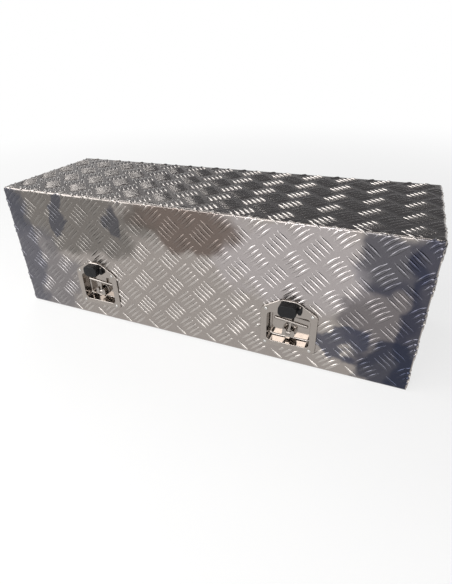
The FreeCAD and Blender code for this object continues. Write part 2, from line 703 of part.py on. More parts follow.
pin_tub_y = hinge_y - strut_arm * cosine(strut_rest_angle)
pin_tub_z = hinge_z - strut_arm * sine(strut_rest_angle)
pin_lid_y = hinge_y - strut_arm
strut_tilt = strut_rest_angle / 2
strut_rest = strut_arm * 2 * sine(strut_tilt)
tube_bore = tube_r - tube_wall
for side, sign in (("left", -1), ("right", 1)):
    line = (half_width - strut_inset) * sign

    # Z bracket on the tub's end, carrying the lower pin
    low = new_body("strut_bracket_tub_" + side)
    shape = sketch_on(low, "XZ_Plane", "low_bracket_outline_" + side)
    wall = tub_half_in * sign
    face = line + pivot_length * sign
    polygon(shape, [
        (wall, -bracket_foot), (wall, -bracket_knee), (face + bracket * sign, -bracket_knee),
        (face + bracket * sign, bracket_rise), (face, bracket_rise),
        (face, -bracket_knee - bracket), (wall - bracket * sign, -bracket_knee - bracket),
        (wall - bracket * sign, -bracket_foot)])
    pad(low, "low_bracket_fold_" + side, shape, bracket_width, symmetric=True)
    round_edges(low, "low_bracket_bend_" + side, bend, 1, [
        (face, -bracket_knee - bracket), (wall, -bracket_knee)])
    place(low, None, pin_tub_y, pin_tub_z)
    keep(low, "strut_bracket_tub_" + side)

    # L bracket under the lid's top, carrying the upper pin
    high = new_body("strut_bracket_lid_" + side)
    shape = sketch_on(high, "XZ_Plane", "high_bracket_outline_" + side)
    near = line - pivot_length * sign
    under = top_inner - hinge_z
    polygon(shape, [
        (near, -bracket_drop), (near, under), (near - sign * bracket_flange, under),
        (near - sign * bracket_flange, under - bracket), (near - bracket * sign, under - bracket),
        (near - bracket * sign, -bracket_drop)])
    pad(high, "high_bracket_fold_" + side, shape, bracket_width, symmetric=True)
    round_edges(high, "high_bracket_bend_" + side, bend, 1, [
        (near, under)])
    place(high, None, pin_lid_y, hinge_z)
    keep(high, "strut_bracket_lid_" + side)

    # pivot pins: a shoulder on the bracket, a shank through the eye and a head
    for where, y, z, out in (("tub", pin_tub_y, pin_tub_z, sign),
                             ("lid", pin_lid_y, hinge_z, -sign)):
        name = "strut_pin_%s_%s" % (where, side)
        pivot = new_body(name)
        tip = eye_width / 2 + eye_gap + pivot_head
        for role, radius, start, length in (
                ("shank", pivot_r, pivot_length, pivot_length + tip),
                ("shoulder", pivot_shoulder_r, pivot_length, pivot_shoulder),
                ("head", pivot_head_r, pivot_head - tip, pivot_head)):
            outline = sketch_on(pivot, "YZ_Plane", "%s_%s_outline" % (name, role))
            circle(outline, 0, 0, radius)
            lift(outline, start * out)
            pad(pivot, "%s_%s" % (name, role), outline, length, backwards=out > 0)
        place(pivot, line, y, z)
        keep(pivot, name)

    # tube, rod and their eyes are drawn upright from the lower pin, then tilted
    def upright(thing):
        place(thing, line, pin_tub_y, pin_tub_z, FreeCAD.Vector(1, 0, 0), strut_tilt)

    tube = new_body("strut_tube_" + side)
    half = sketch_on(tube, "XZ_Plane", "tube_outline_" + side)
    top = eye_neck + tube_length
    polygon(half, [
        (0, eye_neck), (tube_r - tube_crimp, eye_neck), (tube_r, eye_neck + tube_crimp),
        (tube_r, top - tube_crimp), (tube_r - tube_crimp, top),
        (rod_r + rod_play, top), (rod_r + rod_play, top - tube_guide), (tube_bore, top - tube_guide),
        (tube_bore, eye_neck + tube_plug), (0, eye_neck + tube_plug)])
    turned = tube.newObject("PartDesign::Revolution", "tube_turned_" + side)
    turned.Profile = half
    turned.ReferenceAxis = (half, ["V_Axis"])
    turned.Angle = 360
    doc.recompute()
    upright(tube)
    keep(tube, "strut_tube_" + side)

    rod = new_body("strut_rod_" + side)
    half = sketch_on(rod, "XZ_Plane", "rod_outline_" + side)
    foot = strut_rest - rod_reach
    polygon(half, [
        (0, foot), (tube_bore - rod_play, foot), (tube_bore - rod_play, foot + piston),
        (rod_r, foot + piston), (rod_r, strut_rest - rod_neck), (0, strut_rest - rod_neck)])
    turned = rod.newObject("PartDesign::Revolution", "rod_turned_" + side)
    turned.Profile = half
    turned.ReferenceAxis = (half, ["V_Axis"])
    turned.Angle = 360
    doc.recompute()
    upright(rod)
    keep(rod, "strut_rod_" + side)

    for where, shank_end in (("tub", eye_neck), ("lid", -rod_neck)):
        name = "strut_eye_%s_%s" % (where, side)
        eye = new_body(name)
        barrel = sketch_on(eye, "YZ_Plane", name + "_outline")
        circle(barrel, 0, 0, eye_r)
        pad(eye, name + "_barrel", barrel, eye_width, symmetric=True)
        shank = sketch_on(eye, "XY_Plane", name + "_shank_outline")
        circle(shank, 0, 0, eye_shank_r)
        lift(shank, shank_end)
        reach = shank_end if where == "tub" else -shank_end
        pad(eye, name + "_shank", shank, reach - pivot_r, backwards=where == "tub")
        bore = sketch_on(eye, "YZ_Plane", name + "_bore_outline")
        circle(bore, 0, 0, pivot_r + pin_play)
        pocket(eye, name + "_bore", bore, eye_width + 2, symmetric=True)
        if where == "tub":
            upright(eye)
        else:
            place(eye, line, pin_lid_y, hinge_z, FreeCAD.Vector(1, 0, 0), strut_tilt)
        keep(eye, name)

# ---- latches ----------------------------------------------------------------------
# Everything on a latch is drawn from the spindle's axis, at the front sheet's face.
# Forward is -Y, so a plane lies at minus its distance forward.

plate_face = gasket + plate                    # forward of the sheet
floor_face = plate_face - pan_depth
floor_back = floor_face - pan_wall
pin_line = plate_face - fold_recess
lobe_half = lobe_gap / 2 + lobe_width
strike_plane = lip_back + strike + strike_gap - front_face   # behind the sheet's face
house_x = plate_width / 2


def house(sketch, inset):
    """Outline of the latch plate: straight sides, sloping shoulders, blunt top."""
    polygon(sketch, [
        (-house_x + inset, -plate_low + inset), (house_x - inset, -plate_low + inset),
        (house_x - inset, plate_shoulder - inset / 2), (plate_top_half, plate_top - inset),
        (-plate_top_half, plate_top - inset), (-house_x + inset, plate_shoulder - inset / 2)])


def house_corners(part, name, low_r, shoulder_r, top_r, inset):
    round_edges(part, name + "_low", low_r, 1, [
        (-house_x + inset, -plate_low + inset), (house_x - inset, -plate_low + inset)])
    round_edges(part, name + "_shoulder", shoulder_r, 1, [
        (-house_x + inset, plate_shoulder - inset / 2), (house_x - inset, plate_shoulder - inset / 2)])
    round_edges(part, name + "_top", top_r, 1, [
        (-plate_top_half, plate_top - inset), (plate_top_half, plate_top - inset)])


def cover_outline(sketch, inset):
    """Outline of the dust cover, wider than it is tall."""
    rounded_rectangle(sketch, -half_cover + inset, lock_rise - cover_half + inset,
                      half_cover - inset, lock_rise + cover_half - inset, cover_corner - inset)


for side, sign, lean in (("left", -1, lean_left), ("right", 1, lean_right)):
    centre_x = latch_span * sign / 2

    def seat(thing, leaning=False):
        if leaning:
            place(thing, centre_x, front_face, latch_height, FreeCAD.Vector(0, 1, 0), lean)
        else:
            place(thing, centre_x, front_face, latch_height)

    # rubber gasket under the plate
    name = "latch_gasket_" + side
    pad_rubber = new_body(name)
    outline = sketch_on(pad_rubber, "XZ_Plane", name + "_outline")
    house(outline, gasket_inset)
    pad(pad_rubber, name + "_pad", outline, gasket)
    house_corners(pad_rubber, name, low_corner, shoulder_corner, top_corner, gasket_inset)
    window = sketch_on(pad_rubber, "XZ_Plane", name + "_window_outline")
    rounded_rectangle(window, -pan_half, -pan_low - pan_wall - cutout_gap,
                      pan_half, pan_high + pan_wall + cutout_gap,
                      pan_corner + pan_wall + cutout_gap)
    lift(window, gasket + 1)
    pocket(pad_rubber, name + "_window", window, gasket + 2)
    bore = sketch_on(pad_rubber, "XZ_Plane", name + "_bore_outline")
    circle(bore, 0, lock_rise, barrel_r + cutout_gap)
    lift(bore, gasket + 1)
    pocket(pad_rubber, name + "_bore", bore, gasket + 2)
    seat(pad_rubber)
    keep(pad_rubber, name)

    # pressed plate and pan, with the spindle's bearing collar on its floor
    name = "latch_pan_" + side
    pressed = new_body(name)
    outline = sketch_on(pressed, "XZ_Plane", name + "_outline")
    house(outline, Size(0, "0"))
    lift(outline, gasket)
    pad(pressed, name + "_plate", outline, plate)
    house_corners(pressed, name, low_corner, shoulder_corner, top_corner, Size(0, "0"))
    face_y = -plate_face.value
    round_arc_edges(pressed, name + "_edge", plate_roll, lambda e: (
        all(abs(v.Point.y - face_y) < 1e-6 for v in e.Vertexes)))
    box = sketch_on(pressed, "XZ_Plane", name + "_box_outline")
    rounded_rectangle(box, -pan_width / 2 - pan_wall, -pan_low - pan_wall,
                      pan_width / 2 + pan_wall, pan_high + pan_wall,
                      pan_corner + pan_wall)
    lift(box, gasket + 0.5)
    pad(pressed, name + "_box", box, gasket + 0.5 - floor_back, backwards=True)
    back_y = -floor_back.value
    round_arc_edges(pressed, name + "_box_foot", pan_foot + pan_wall, lambda e: (
        all(abs(v.Point.y - back_y) < 1e-6 for v in e.Vertexes)))
    dish = sketch_on(pressed, "XZ_Plane", name + "_dish_outline")
    rounded_rectangle(dish, -pan_width / 2, -pan_low, pan_width / 2, pan_high, pan_corner)
    lift(dish, plate_face)
    pocket(pressed, name + "_dish", dish, pan_depth)
    floor_y = -floor_face.value
    round_arc_edges(pressed, name + "_dish_foot", pan_foot, lambda e: (
        all(abs(v.Point.y - floor_y) < 1e-6 for v in e.Vertexes)))
    mouth_half = pan_width.value / 2 + 0.01
    mouth_low, mouth_high = -pan_low.value - 0.01, pan_high.value + 0.01
    round_arc_edges(pressed, name + "_mouth", pan_roll, lambda e: (
        all(abs(v.Point.y - face_y) < 1e-6 and abs(v.Point.x) < mouth_half
            and mouth_low < v.Point.z < mouth_high for v in e.Vertexes)))
    collar = sketch_on(pressed, "XZ_Plane", name + "_collar_outline")
    circle(collar, 0, 0, collar_r)
    lift(collar, floor_back)
    pad(pressed, name + "_collar", collar, collar_length, backwards=True)
    bore = sketch_on(pressed, "XZ_Plane", name + "_bore_outline")
    circle(bore, 0, 0, spindle_r + pin_play)
    lift(bore, floor_face + 1)
    pocket(pressed, name + "_bore", bore, pan_wall + collar_length + 2)
    lock_bore = sketch_on(pressed, "XZ_Plane", name + "_lock_outline")
    circle(lock_bore, 0, lock_rise, barrel_r + seat_play)
    lift(lock_bore, plate_face + 1)
    pocket(pressed, name + "_lock_bore", lock_bore, plate + gasket + 0.9)
    seat(pressed)
    keep(pressed, name)

    # spindle: eared hub, round shaft, square for the cam and a threaded tail
    name = "spindle_" + side
    shaft = new_body(name)
    hub_back = floor_face + hub_gap
    disc = sketch_on(shaft, "XZ_Plane", name + "_hub_outline")
    circle(disc, 0, 0, hub_r)
    lift(disc, hub_back)
    pad(shaft, name + "_hub", disc, hub_flange)
    front = hub_back + hub_flange
    round_arc_edges(shaft, name + "_hub_edge", hub_round, lambda e: (
        is_circle(e, hub_r) and abs(e.Vertexes[0].Point.y + front.value) < 1e-6))
    ears = sketch_on(shaft, "XZ_Plane", name + "_ear_outline")
    caps = sketch_on(shaft, "XZ_Plane", name + "_ear_top_outline")
    ear_round = lobe_width / 2
    for dx in (-1, 1):
        rectangle(ears, lobe_gap / 2 * dx, -lobe_low, lobe_half * dx, lobe_top - ear_round)
        circle(caps, (lobe_half - ear_round) * dx, lobe_top - ear_round, ear_round)
    ear_front = pin_line + lobe_r
    for outline, part_name in ((ears, "_ears"), (caps, "_ear_tops")):
        lift(outline, front - 1)
        pad(shaft, name + part_name, outline, ear_front - front + 1)
    nub = sketch_on(shaft, "XZ_Plane", name + "_nub_outline")
    nub_half = nub_width / 2
    polygon(nub, [(-nub_half, -lobe_low - 0.6), (-nub_half + nub_taper, -nub_low),
                  (nub_half - nub_taper, -nub_low), (nub_half, -lobe_low - 0.6)])
    lift(nub, floor_face + 1)
    pad(shaft, name + "_nub", nub, pin_line - floor_face - 2)
    bore = sketch_on(shaft, "YZ_Plane", name + "_pin_outline")
    circle(bore, -pin_line, 0, fold_pin_r + seat_play)
    pocket(shaft, name + "_pin_bore", bore, lobe_half * 2 + 2, symmetric=True)
    stem = sketch_on(shaft, "XZ_Plane", name + "_stem_outline")
    circle(stem, 0, 0, spindle_r)
    lift(stem, hub_back + 1)
    stem_end = -strike_plane                     # cam sits behind this plane
    pad(shaft, name + "_stem", stem, hub_back + 1 - stem_end, backwards=True)
    flats = sketch_on(shaft, "XZ_Plane", name + "_square_outline")
    half_square = square / 2 - square_play
    rectangle(flats, -half_square, -half_square, half_square, half_square)
    lift(flats, stem_end + 1)
    pad(shaft, name + "_square", flats, cam + 1 - square_short, backwards=True)
    thread = sketch_on(shaft, "XZ_Plane", name + "_thread_outline")
    circle(thread, 0, 0, thread_r)
    lift(thread, stem_end + 1)
    pad(shaft, name + "_thread", thread, cam + nut_height + 1 + thread_stand, backwards=True)
    seat(shaft, leaning=True)
    keep(shaft, name)

    # fold pin through both ears
    name = "fold_pin_" + side
    rivet = new_body(name)
    outline = sketch_on(rivet, "YZ_Plane", name + "_outline")
    circle(outline, -pin_line, 0, fold_pin_r)
    pad(rivet, name + "_shank", outline, lobe_half * 2 + fold_pin_stand * 2, symmetric=True)
    seat(rivet, leaning=True)
    keep(rivet, name)

    # T handle: cross bar, flat stem and an eye round the fold pin
    name = "t_handle_" + side
    handle = new_body(name)
    bar = sketch_on(handle, "YZ_Plane", name + "_bar_outline")
    circle(bar, -pin_line, handle_reach, handle_bar_r)
    pad(handle, name + "_bar", bar, handle_bar, symmetric=True)
    round_arc_edges(handle, name + "_bar_ends", handle_bar_r - bar_end_flat, lambda e: (
        is_circle(e, handle_bar_r)))
    web = sketch_on(handle, "YZ_Plane", name + "_stem_outline")
    polygon(web, [(-pin_line - stem_root / 2, 0), (-pin_line + stem_root / 2, 0),
                  (-pin_line + stem_tip / 2, handle_reach),
                  (-pin_line - stem_tip / 2, handle_reach)])
    pad(handle, name + "_stem", web, handle_stem, symmetric=True)
    eye = sketch_on(handle, "YZ_Plane", name + "_eye_outline")
    circle(eye, -pin_line, 0, handle_eye_r)
    pad(handle, name + "_eye", eye, handle_eye_width, symmetric=True)
    bore = sketch_on(handle, "YZ_Plane", name + "_pin_outline")
    circle(bore, -pin_line, 0, fold_pin_r + pin_play)
    pocket(handle, name + "_pin_bore", bore, handle_eye_width + 2, symmetric=True)
    seat(handle, leaning=True)
    keep(handle, name)

    # cam arm, standing aside at rest, and the nut that holds it
    name = "cam_arm_" + side
    arm = new_body(name)
    outline = sketch_on(arm, "XZ_Plane", name + "_outline")
    half_cam = cam_width / 2
    tip_half = half_cam - cam_taper
    polygon(outline, [(-cam_reach, -tip_half), (half_cam, -half_cam),
                      (half_cam, half_cam), (-cam_reach, tip_half)])
    lift(outline, -strike_plane)
    pad(arm, name + "_plate", outline, cam, backwards=True)
    round_edges(arm, name + "_ends", cam_round, 1, [
        (-cam_reach, -tip_half), (-cam_reach, tip_half),
        (half_cam, -half_cam), (half_cam, half_cam)])
    seat_square = sketch_on(arm, "XZ_Plane", name + "_square_outline")
    rectangle(seat_square, -square / 2, -square / 2, square / 2, square / 2)
    lift(seat_square, -strike_plane + 1)
    pocket(arm, name + "_square", seat_square, cam + 2)
    # the square is cut to the spindle's lean, the arm itself hangs level
    seat(arm, leaning=True)
    keep(arm, name)

    name = "cam_nut_" + side
    nut = new_body(name)
    outline = sketch_on(nut, "XZ_Plane", name + "_outline")
    hexagon(outline, 0, 0, nut_flats)
    lift(outline, -strike_plane - cam)
    pad(nut, name + "_hex", outline, nut_height, backwards=True)
    bore = sketch_on(nut, "XZ_Plane", name + "_bore_outline")
    circle(bore, 0, 0, thread_r + seat_play)
    lift(bore, -strike_plane - cam + 1)
    pocket(nut, name + "_bore", bore, nut_height + 2)
    seat(nut, leaning=True)
    keep(nut, name)

    # lock barrel, turned, with a nut behind the sheet
    name = "lock_barrel_" + side
    barrel = new_body(name)
    half = sketch_on(barrel, "YZ_Plane", name + "_outline")
    polygon(half, [
        (-plate_face - barrel_head, lock_rise + core_r + pin_play),
        (-plate_face - barrel_head, lock_rise + barrel_head_r - barrel_chamfer),
        (-plate_face - barrel_head + barrel_chamfer, lock_rise + barrel_head_r),
        (-plate_face, lock_rise + barrel_head_r), (-plate_face, lock_rise + barrel_r),
        (-plate_face + barrel_length, lock_rise + barrel_r),
        (-plate_face + barrel_length, lock_rise + core_r + pin_play)])
    axis_line = half.addGeometry(Part.LineSegment(
        FreeCAD.Vector(-40, lock_rise.value, 0), FreeCAD.Vector(40, lock_rise.value, 0)), True)
    hold(half, axis_line, 1, Size(-40, "-40"), lock_rise)
    hold(half, axis_line, 2, Size(40, "40"), lock_rise)
    turned = barrel.newObject("PartDesign::Revolution", name + "_turned")
    turned.Profile = half
    turned.ReferenceAxis = (half, ["Axis0"])
    turned.Angle = 360
    doc.recompute()
    seat(barrel)
    keep(barrel, name)

    name = "lock_nut_" + side
    nut = new_body(name)
    outline = sketch_on(nut, "XZ_Plane", name + "_outline")
    hexagon(outline, Size(0, "0"), lock_rise, lock_nut_flats)
    lift(outline, -sheet)
    pad(nut, name + "_hex", outline, lock_nut_height, backwards=True)
    bore = sketch_on(nut, "XZ_Plane", name + "_bore_outline")
    circle(bore, 0, lock_rise, barrel_r + seat_play)
    lift(bore, -sheet + 1)
    pocket(nut, name + "_bore", bore, lock_nut_height + 2)
    seat(nut)
    keep(nut, name)

    # lock core with its keyway, and the tail that it turns
    name = "lock_core_" + side
    core = new_body(name)
    outline = sketch_on(core, "XZ_Plane", name + "_outline")
    circle(outline, 0, lock_rise, core_r)
    core_face = plate_face + barrel_head + core_stand
    lift(outline, core_face)
    tail_plane = plate_face - barrel_length - core_stand      # front of the tail
    pad(core, name + "_plug", outline, core_face - tail_plane, backwards=True)
    slot = sketch_on(core, "XZ_Plane", name + "_slot_outline")
    rectangle(slot, -key_slot / 2, lock_rise - key_height / 2,
              key_slot / 2, lock_rise + key_height / 2)
    lift(slot, core_face + 1)
    pocket(core, name + "_slot", slot, key_depth + 1)
    seat(core)
    keep(core, name)

    name = "lock_tail_" + side
    blade = new_body(name)
    outline = sketch_on(blade, "XZ_Plane", name + "_outline")
    rectangle(outline, -tail_width / 2, lock_rise - tail_width / 2,
              tail_width / 2, lock_rise + tail_reach)
    lift(outline, tail_plane)
    pad(blade, name + "_plate", outline, tail, backwards=True)
    round_edges(blade, name + "_ends", tail_width / 2 - 0.5, 1, [
        (-tail_width / 2, lock_rise - tail_width / 2), (tail_width / 2, lock_rise - tail_width / 2),
        (-tail_width / 2, lock_rise + tail_reach), (tail_width / 2, lock_rise + tail_reach)])
    seat(blade)
    keep(blade, name)

    # ring round the barrel with two ears, and the dust cover on its pin
    name = "cover_ring_" + side
    ring = new_body(name)
    outline = sketch_on(ring, "XZ_Plane", name + "_outline")
    cover_outline(outline, ring_inset)
    circle(outline, 0, lock_rise, barrel_head_r + ring_room)
    lift(outline, plate_face)
    pad(ring, name + "_ring", outline, cover_ring)
    pin_x = half_cover + cover_pin_out
    pin_y = -plate_face - cover_pin_rise
    ear_span = cover_tab + cover_ear * 2 + cover_ear_gap * 2
    foot = sketch_on(ring, "XY_Plane", name + "_foot_outline")
    polygon(foot, [
        (half_cover - 2.1, -plate_face), (pin_x + cover_ear_r, -plate_face),
        (pin_x + cover_ear_r, -plate_face - cover_ring),
        (half_cover - 2.1, -plate_face - cover_ring)])
    lift(foot, lock_rise)
    pad(ring, name + "_foot", foot, ear_span, symmetric=True)
    web = sketch_on(ring, "XY_Plane", name + "_web_outline")
    polygon(web, [
        (pin_x - cover_ear_r, -plate_face - cover_ring + 1), (pin_x + cover_ear_r, -plate_face - cover_ring + 1),
        (pin_x + cover_ear_r, pin_y), (pin_x - cover_ear_r, pin_y)])
    lift(web, lock_rise)
    pad(ring, name + "_web", web, ear_span, symmetric=True)
    boss = sketch_on(ring, "XY_Plane", name + "_boss_outline")
    circle(boss, pin_x, pin_y, cover_ear_r)
    lift(boss, lock_rise)
    pad(ring, name + "_boss", boss, ear_span, symmetric=True)
    slot_in = cover_knuckle_r + cover_knuckle_gap
    slot = sketch_on(ring, "XY_Plane", name + "_slot_outline")
    polygon(slot, [
        (pin_x - slot_in, pin_y - 4), (pin_x + 4.0, pin_y - 4),
        (pin_x + 4.0, -plate_face - slot_floor), (pin_x - slot_in, -plate_face - slot_floor)])
    lift(slot, lock_rise)
    pocket(ring, name + "_slot", slot, cover_tab + cover_ear_gap * 2, symmetric=True)
    bore = sketch_on(ring, "XY_Plane", name + "_bore_outline")
    circle(bore, pin_x, pin_y, cover_pin_r + seat_play)
    lift(bore, lock_rise)
    pocket(ring, name + "_bore", bore, ear_span + 2, symmetric=True)
    seat(ring)
    keep(ring, name)

    name = "dust_cover_" + side
    cup = new_body(name)
    outline = sketch_on(cup, "XZ_Plane", name + "_outline")
    cover_outline(outline, Size(0, "0"))
    base = plate_face + cover_ring + cover_gap
    lift(outline, base)
    pad(cup, name + "_cup", outline, cover_height)
    crown_y = -(base + cover_height).value
    round_arc_edges(cup, name + "_crown", cover_crown, lambda e: (
        all(abs(v.Point.y - crown_y) < 1e-6 for v in e.Vertexes)))
    inside = sketch_on(cup, "XZ_Plane", name + "_inside_outline")
    cover_outline(inside, cover_wall)
    lift(inside, base + cover_height - cover_wall)
    pocket(cup, name + "_inside", inside, cover_height + 1)
    tab = sketch_on(cup, "XY_Plane", name + "_tab_outline")
    polygon(tab, [
        (half_cover - 0.8, -base - 0.1), (pin_x, -base - 0.1), (pin_x, pin_y - cover_knuckle_r),
        (half_cover - 0.8, pin_y - cover_knuckle_r)])
    lift(tab, lock_rise)
    pad(cup, name + "_tab", tab, cover_tab, symmetric=True)
    knob = sketch_on(cup, "XY_Plane", name + "_knuckle_outline")
    circle(knob, pin_x, pin_y, cover_knuckle_r)
    lift(knob, lock_rise)
    pad(cup, name + "_knuckle", knob, cover_tab, symmetric=True)
    bore = sketch_on(cup, "XY_Plane", name + "_bore_outline")
    circle(bore, pin_x, pin_y, cover_pin_r + pin_play)
    lift(bore, lock_rise)
    pocket(cup, name + "_bore", bore, cover_tab + 1, symmetric=True)
    seat(cup)
    keep(cup, name)

    name = "cover_pin_" + side
    rivet = new_body(name)
    outline = sketch_on(rivet, "XY_Plane", name + "_outline")
    circle(outline, pin_x, pin_y, cover_pin_r)
    lift(outline, lock_rise)
    pad(rivet, name + "_shank", outline, ear_span + cover_pin_stand * 2, symmetric=True)
    seat(rivet)
    keep(rivet, name)

# ---- check and write --------------------------------------------------------------

doc.recompute()
bad = [o.Name for o in doc.Objects if "Invalid" in o.State or "Error" in o.State]
if bad:
    raise SystemExit("failed objects: " + ", ".join(bad))
for thing, name in sub_parts:
    shape = thing.Shape
    if shape.isNull() or not shape.isValid() or len(shape.Solids) != 1:
        raise SystemExit("%s is not one valid solid (%d)" % (name, len(shape.Solids)))
for thing, name in sub_parts:
    thing.Shape.exportStep("parts/%s.step" % name)
print("wrote %d sub-parts" % len(sub_parts))
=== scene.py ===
import bpy
import json
import math
from mathutils import Matrix, Quaternion, Vector


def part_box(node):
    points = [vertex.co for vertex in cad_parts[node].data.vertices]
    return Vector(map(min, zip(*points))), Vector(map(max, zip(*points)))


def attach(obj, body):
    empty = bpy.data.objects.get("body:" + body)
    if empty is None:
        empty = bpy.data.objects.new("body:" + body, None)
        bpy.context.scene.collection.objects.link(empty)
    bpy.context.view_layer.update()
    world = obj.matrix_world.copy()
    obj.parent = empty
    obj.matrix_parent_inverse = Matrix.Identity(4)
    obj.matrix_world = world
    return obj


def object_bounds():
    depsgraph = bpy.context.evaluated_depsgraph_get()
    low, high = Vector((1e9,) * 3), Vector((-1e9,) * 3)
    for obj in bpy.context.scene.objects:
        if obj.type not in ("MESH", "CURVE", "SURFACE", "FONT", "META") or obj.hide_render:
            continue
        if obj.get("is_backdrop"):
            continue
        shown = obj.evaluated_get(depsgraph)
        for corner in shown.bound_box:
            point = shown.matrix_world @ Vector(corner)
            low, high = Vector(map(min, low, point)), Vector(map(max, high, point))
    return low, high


# Tread-plate truck tool box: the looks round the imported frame, in metres.
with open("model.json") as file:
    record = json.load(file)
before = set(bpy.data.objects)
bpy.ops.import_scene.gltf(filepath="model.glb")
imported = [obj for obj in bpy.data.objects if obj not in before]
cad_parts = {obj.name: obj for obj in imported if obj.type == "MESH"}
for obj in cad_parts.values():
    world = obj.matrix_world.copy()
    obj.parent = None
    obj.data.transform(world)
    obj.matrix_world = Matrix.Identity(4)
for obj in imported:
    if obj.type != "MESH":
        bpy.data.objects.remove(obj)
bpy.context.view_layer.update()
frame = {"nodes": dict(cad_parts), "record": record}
nodes = frame["nodes"]
mm = 0.001
lidLow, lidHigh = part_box("lid_sheet")
bendRadius = 4 * mm
print("frame loaded:", len(nodes), "nodes")


# a hex colour as linear red, green, blue and alpha
def linear(hexText):
    parts = [int(hexText[k:k + 2], 16) / 255 for k in (0, 2, 4)]
    return [c / 12.92 if c <= 0.04045 else ((c + 0.055) / 1.055) ** 2.4 for c in parts] + [1.0]


# one node, with its inputs (a value, or a socket to link) and its own settings
def addNode(tree, kind, inputs=None, **settings):
    node = tree.nodes.new(kind)
    for name, value in settings.items():
        setattr(node, name, value)
    for key, value in (inputs or {}).items():
        if isinstance(value, bpy.types.NodeSocket):
            tree.links.new(value, node.inputs[key])
        else:
            node.inputs[key].default_value = value
    return node


# a blank material, its tree and its shader
def newMaterial(name, **fixed):
    material = bpy.data.materials.new(name)
    material.use_nodes = True
    tree = material.node_tree
    tree.nodes.clear()
    shader = addNode(tree, "ShaderNodeBsdfPrincipled",
                     {key.replace("_", " "): value for key, value in fixed.items()})
    addNode(tree, "ShaderNodeOutputMaterial", {"Surface": shader.outputs[0]})
    return material, tree, shader


# ---- materials

# Tread plate: 5-series aluminium rolled hot and sold in mill finish. The eye gets a
# warm grey with long rolling streaks and faint clouds, and reflections that are soft
# across the roll lines.
treadPlate = {
    "light": "A9A29D", "dark": "8C8580",
    "cloudSize": 170, "streakLength": 90, "streakWidth": 1.6, "grain": 1.2,
    "roughness": (0.19, 0.30), "bump": 0.05, "wander": 60, "wanderSize": 60,
}

# Painted reflections on the flat front: soft darker and lighter areas of colour. They stand for the
# surroundings that the real box mirrors and this plain stage lacks, and they are no part of its metal:
# leave the dictionary empty for plain mill finish. Middle and half size are in millimetres.
paintedReflectionAreas = {
    "upperMiddle": {"middle": (8, -125, 226), "half": (92, 9, 50), "tint": "57473F", "strength": 0.72},
    "upperLeft": {"middle": (-225, -125, 205), "half": (180, 9, 70), "tint": "56534F", "strength": 0.66},
    "rightMiddle": {"middle": (318, -125, 112), "half": (62, 9, 74), "tint": "5F5B60", "strength": 0.72},
    "rightUpper": {"middle": (314, -125, 204), "half": (50, 9, 52), "tint": "393C4A", "strength": 0.76},
    "rightEdge": {"middle": (374, -125, 140), "half": (38, 9, 175), "tint": "333646", "strength": 0.86},
    "rightLower": {"middle": (344, -125, 28), "half": (52, 9, 52), "tint": "333746", "strength": 0.86},
    "besideLatch": {"middle": (262, -125, 66), "half": (44, 9, 22), "tint": "343A4E", "strength": 0.74},
    "leftEnd": {"middle": (-385, -125, 120), "half": (58, 9, 170), "tint": "3D4252", "strength": 0.68},
    "leftPatch": {"middle": (-254, -125, 210), "half": (18, 9, 34), "tint": "353A49", "strength": 0.62},
    "besideMiddle": {"middle": (-118, -125, 222), "half": (20, 9, 32), "tint": "393C47", "strength": 0.62},
    "lowerLeft": {"middle": (-335, -125, 75), "half": (105, 9, 110), "tint": "64636A", "strength": 0.55},
    "upperRight": {"middle": (180, -125, 185), "half": (115, 9, 80), "tint": "B4AEB0", "strength": 0.50},
}


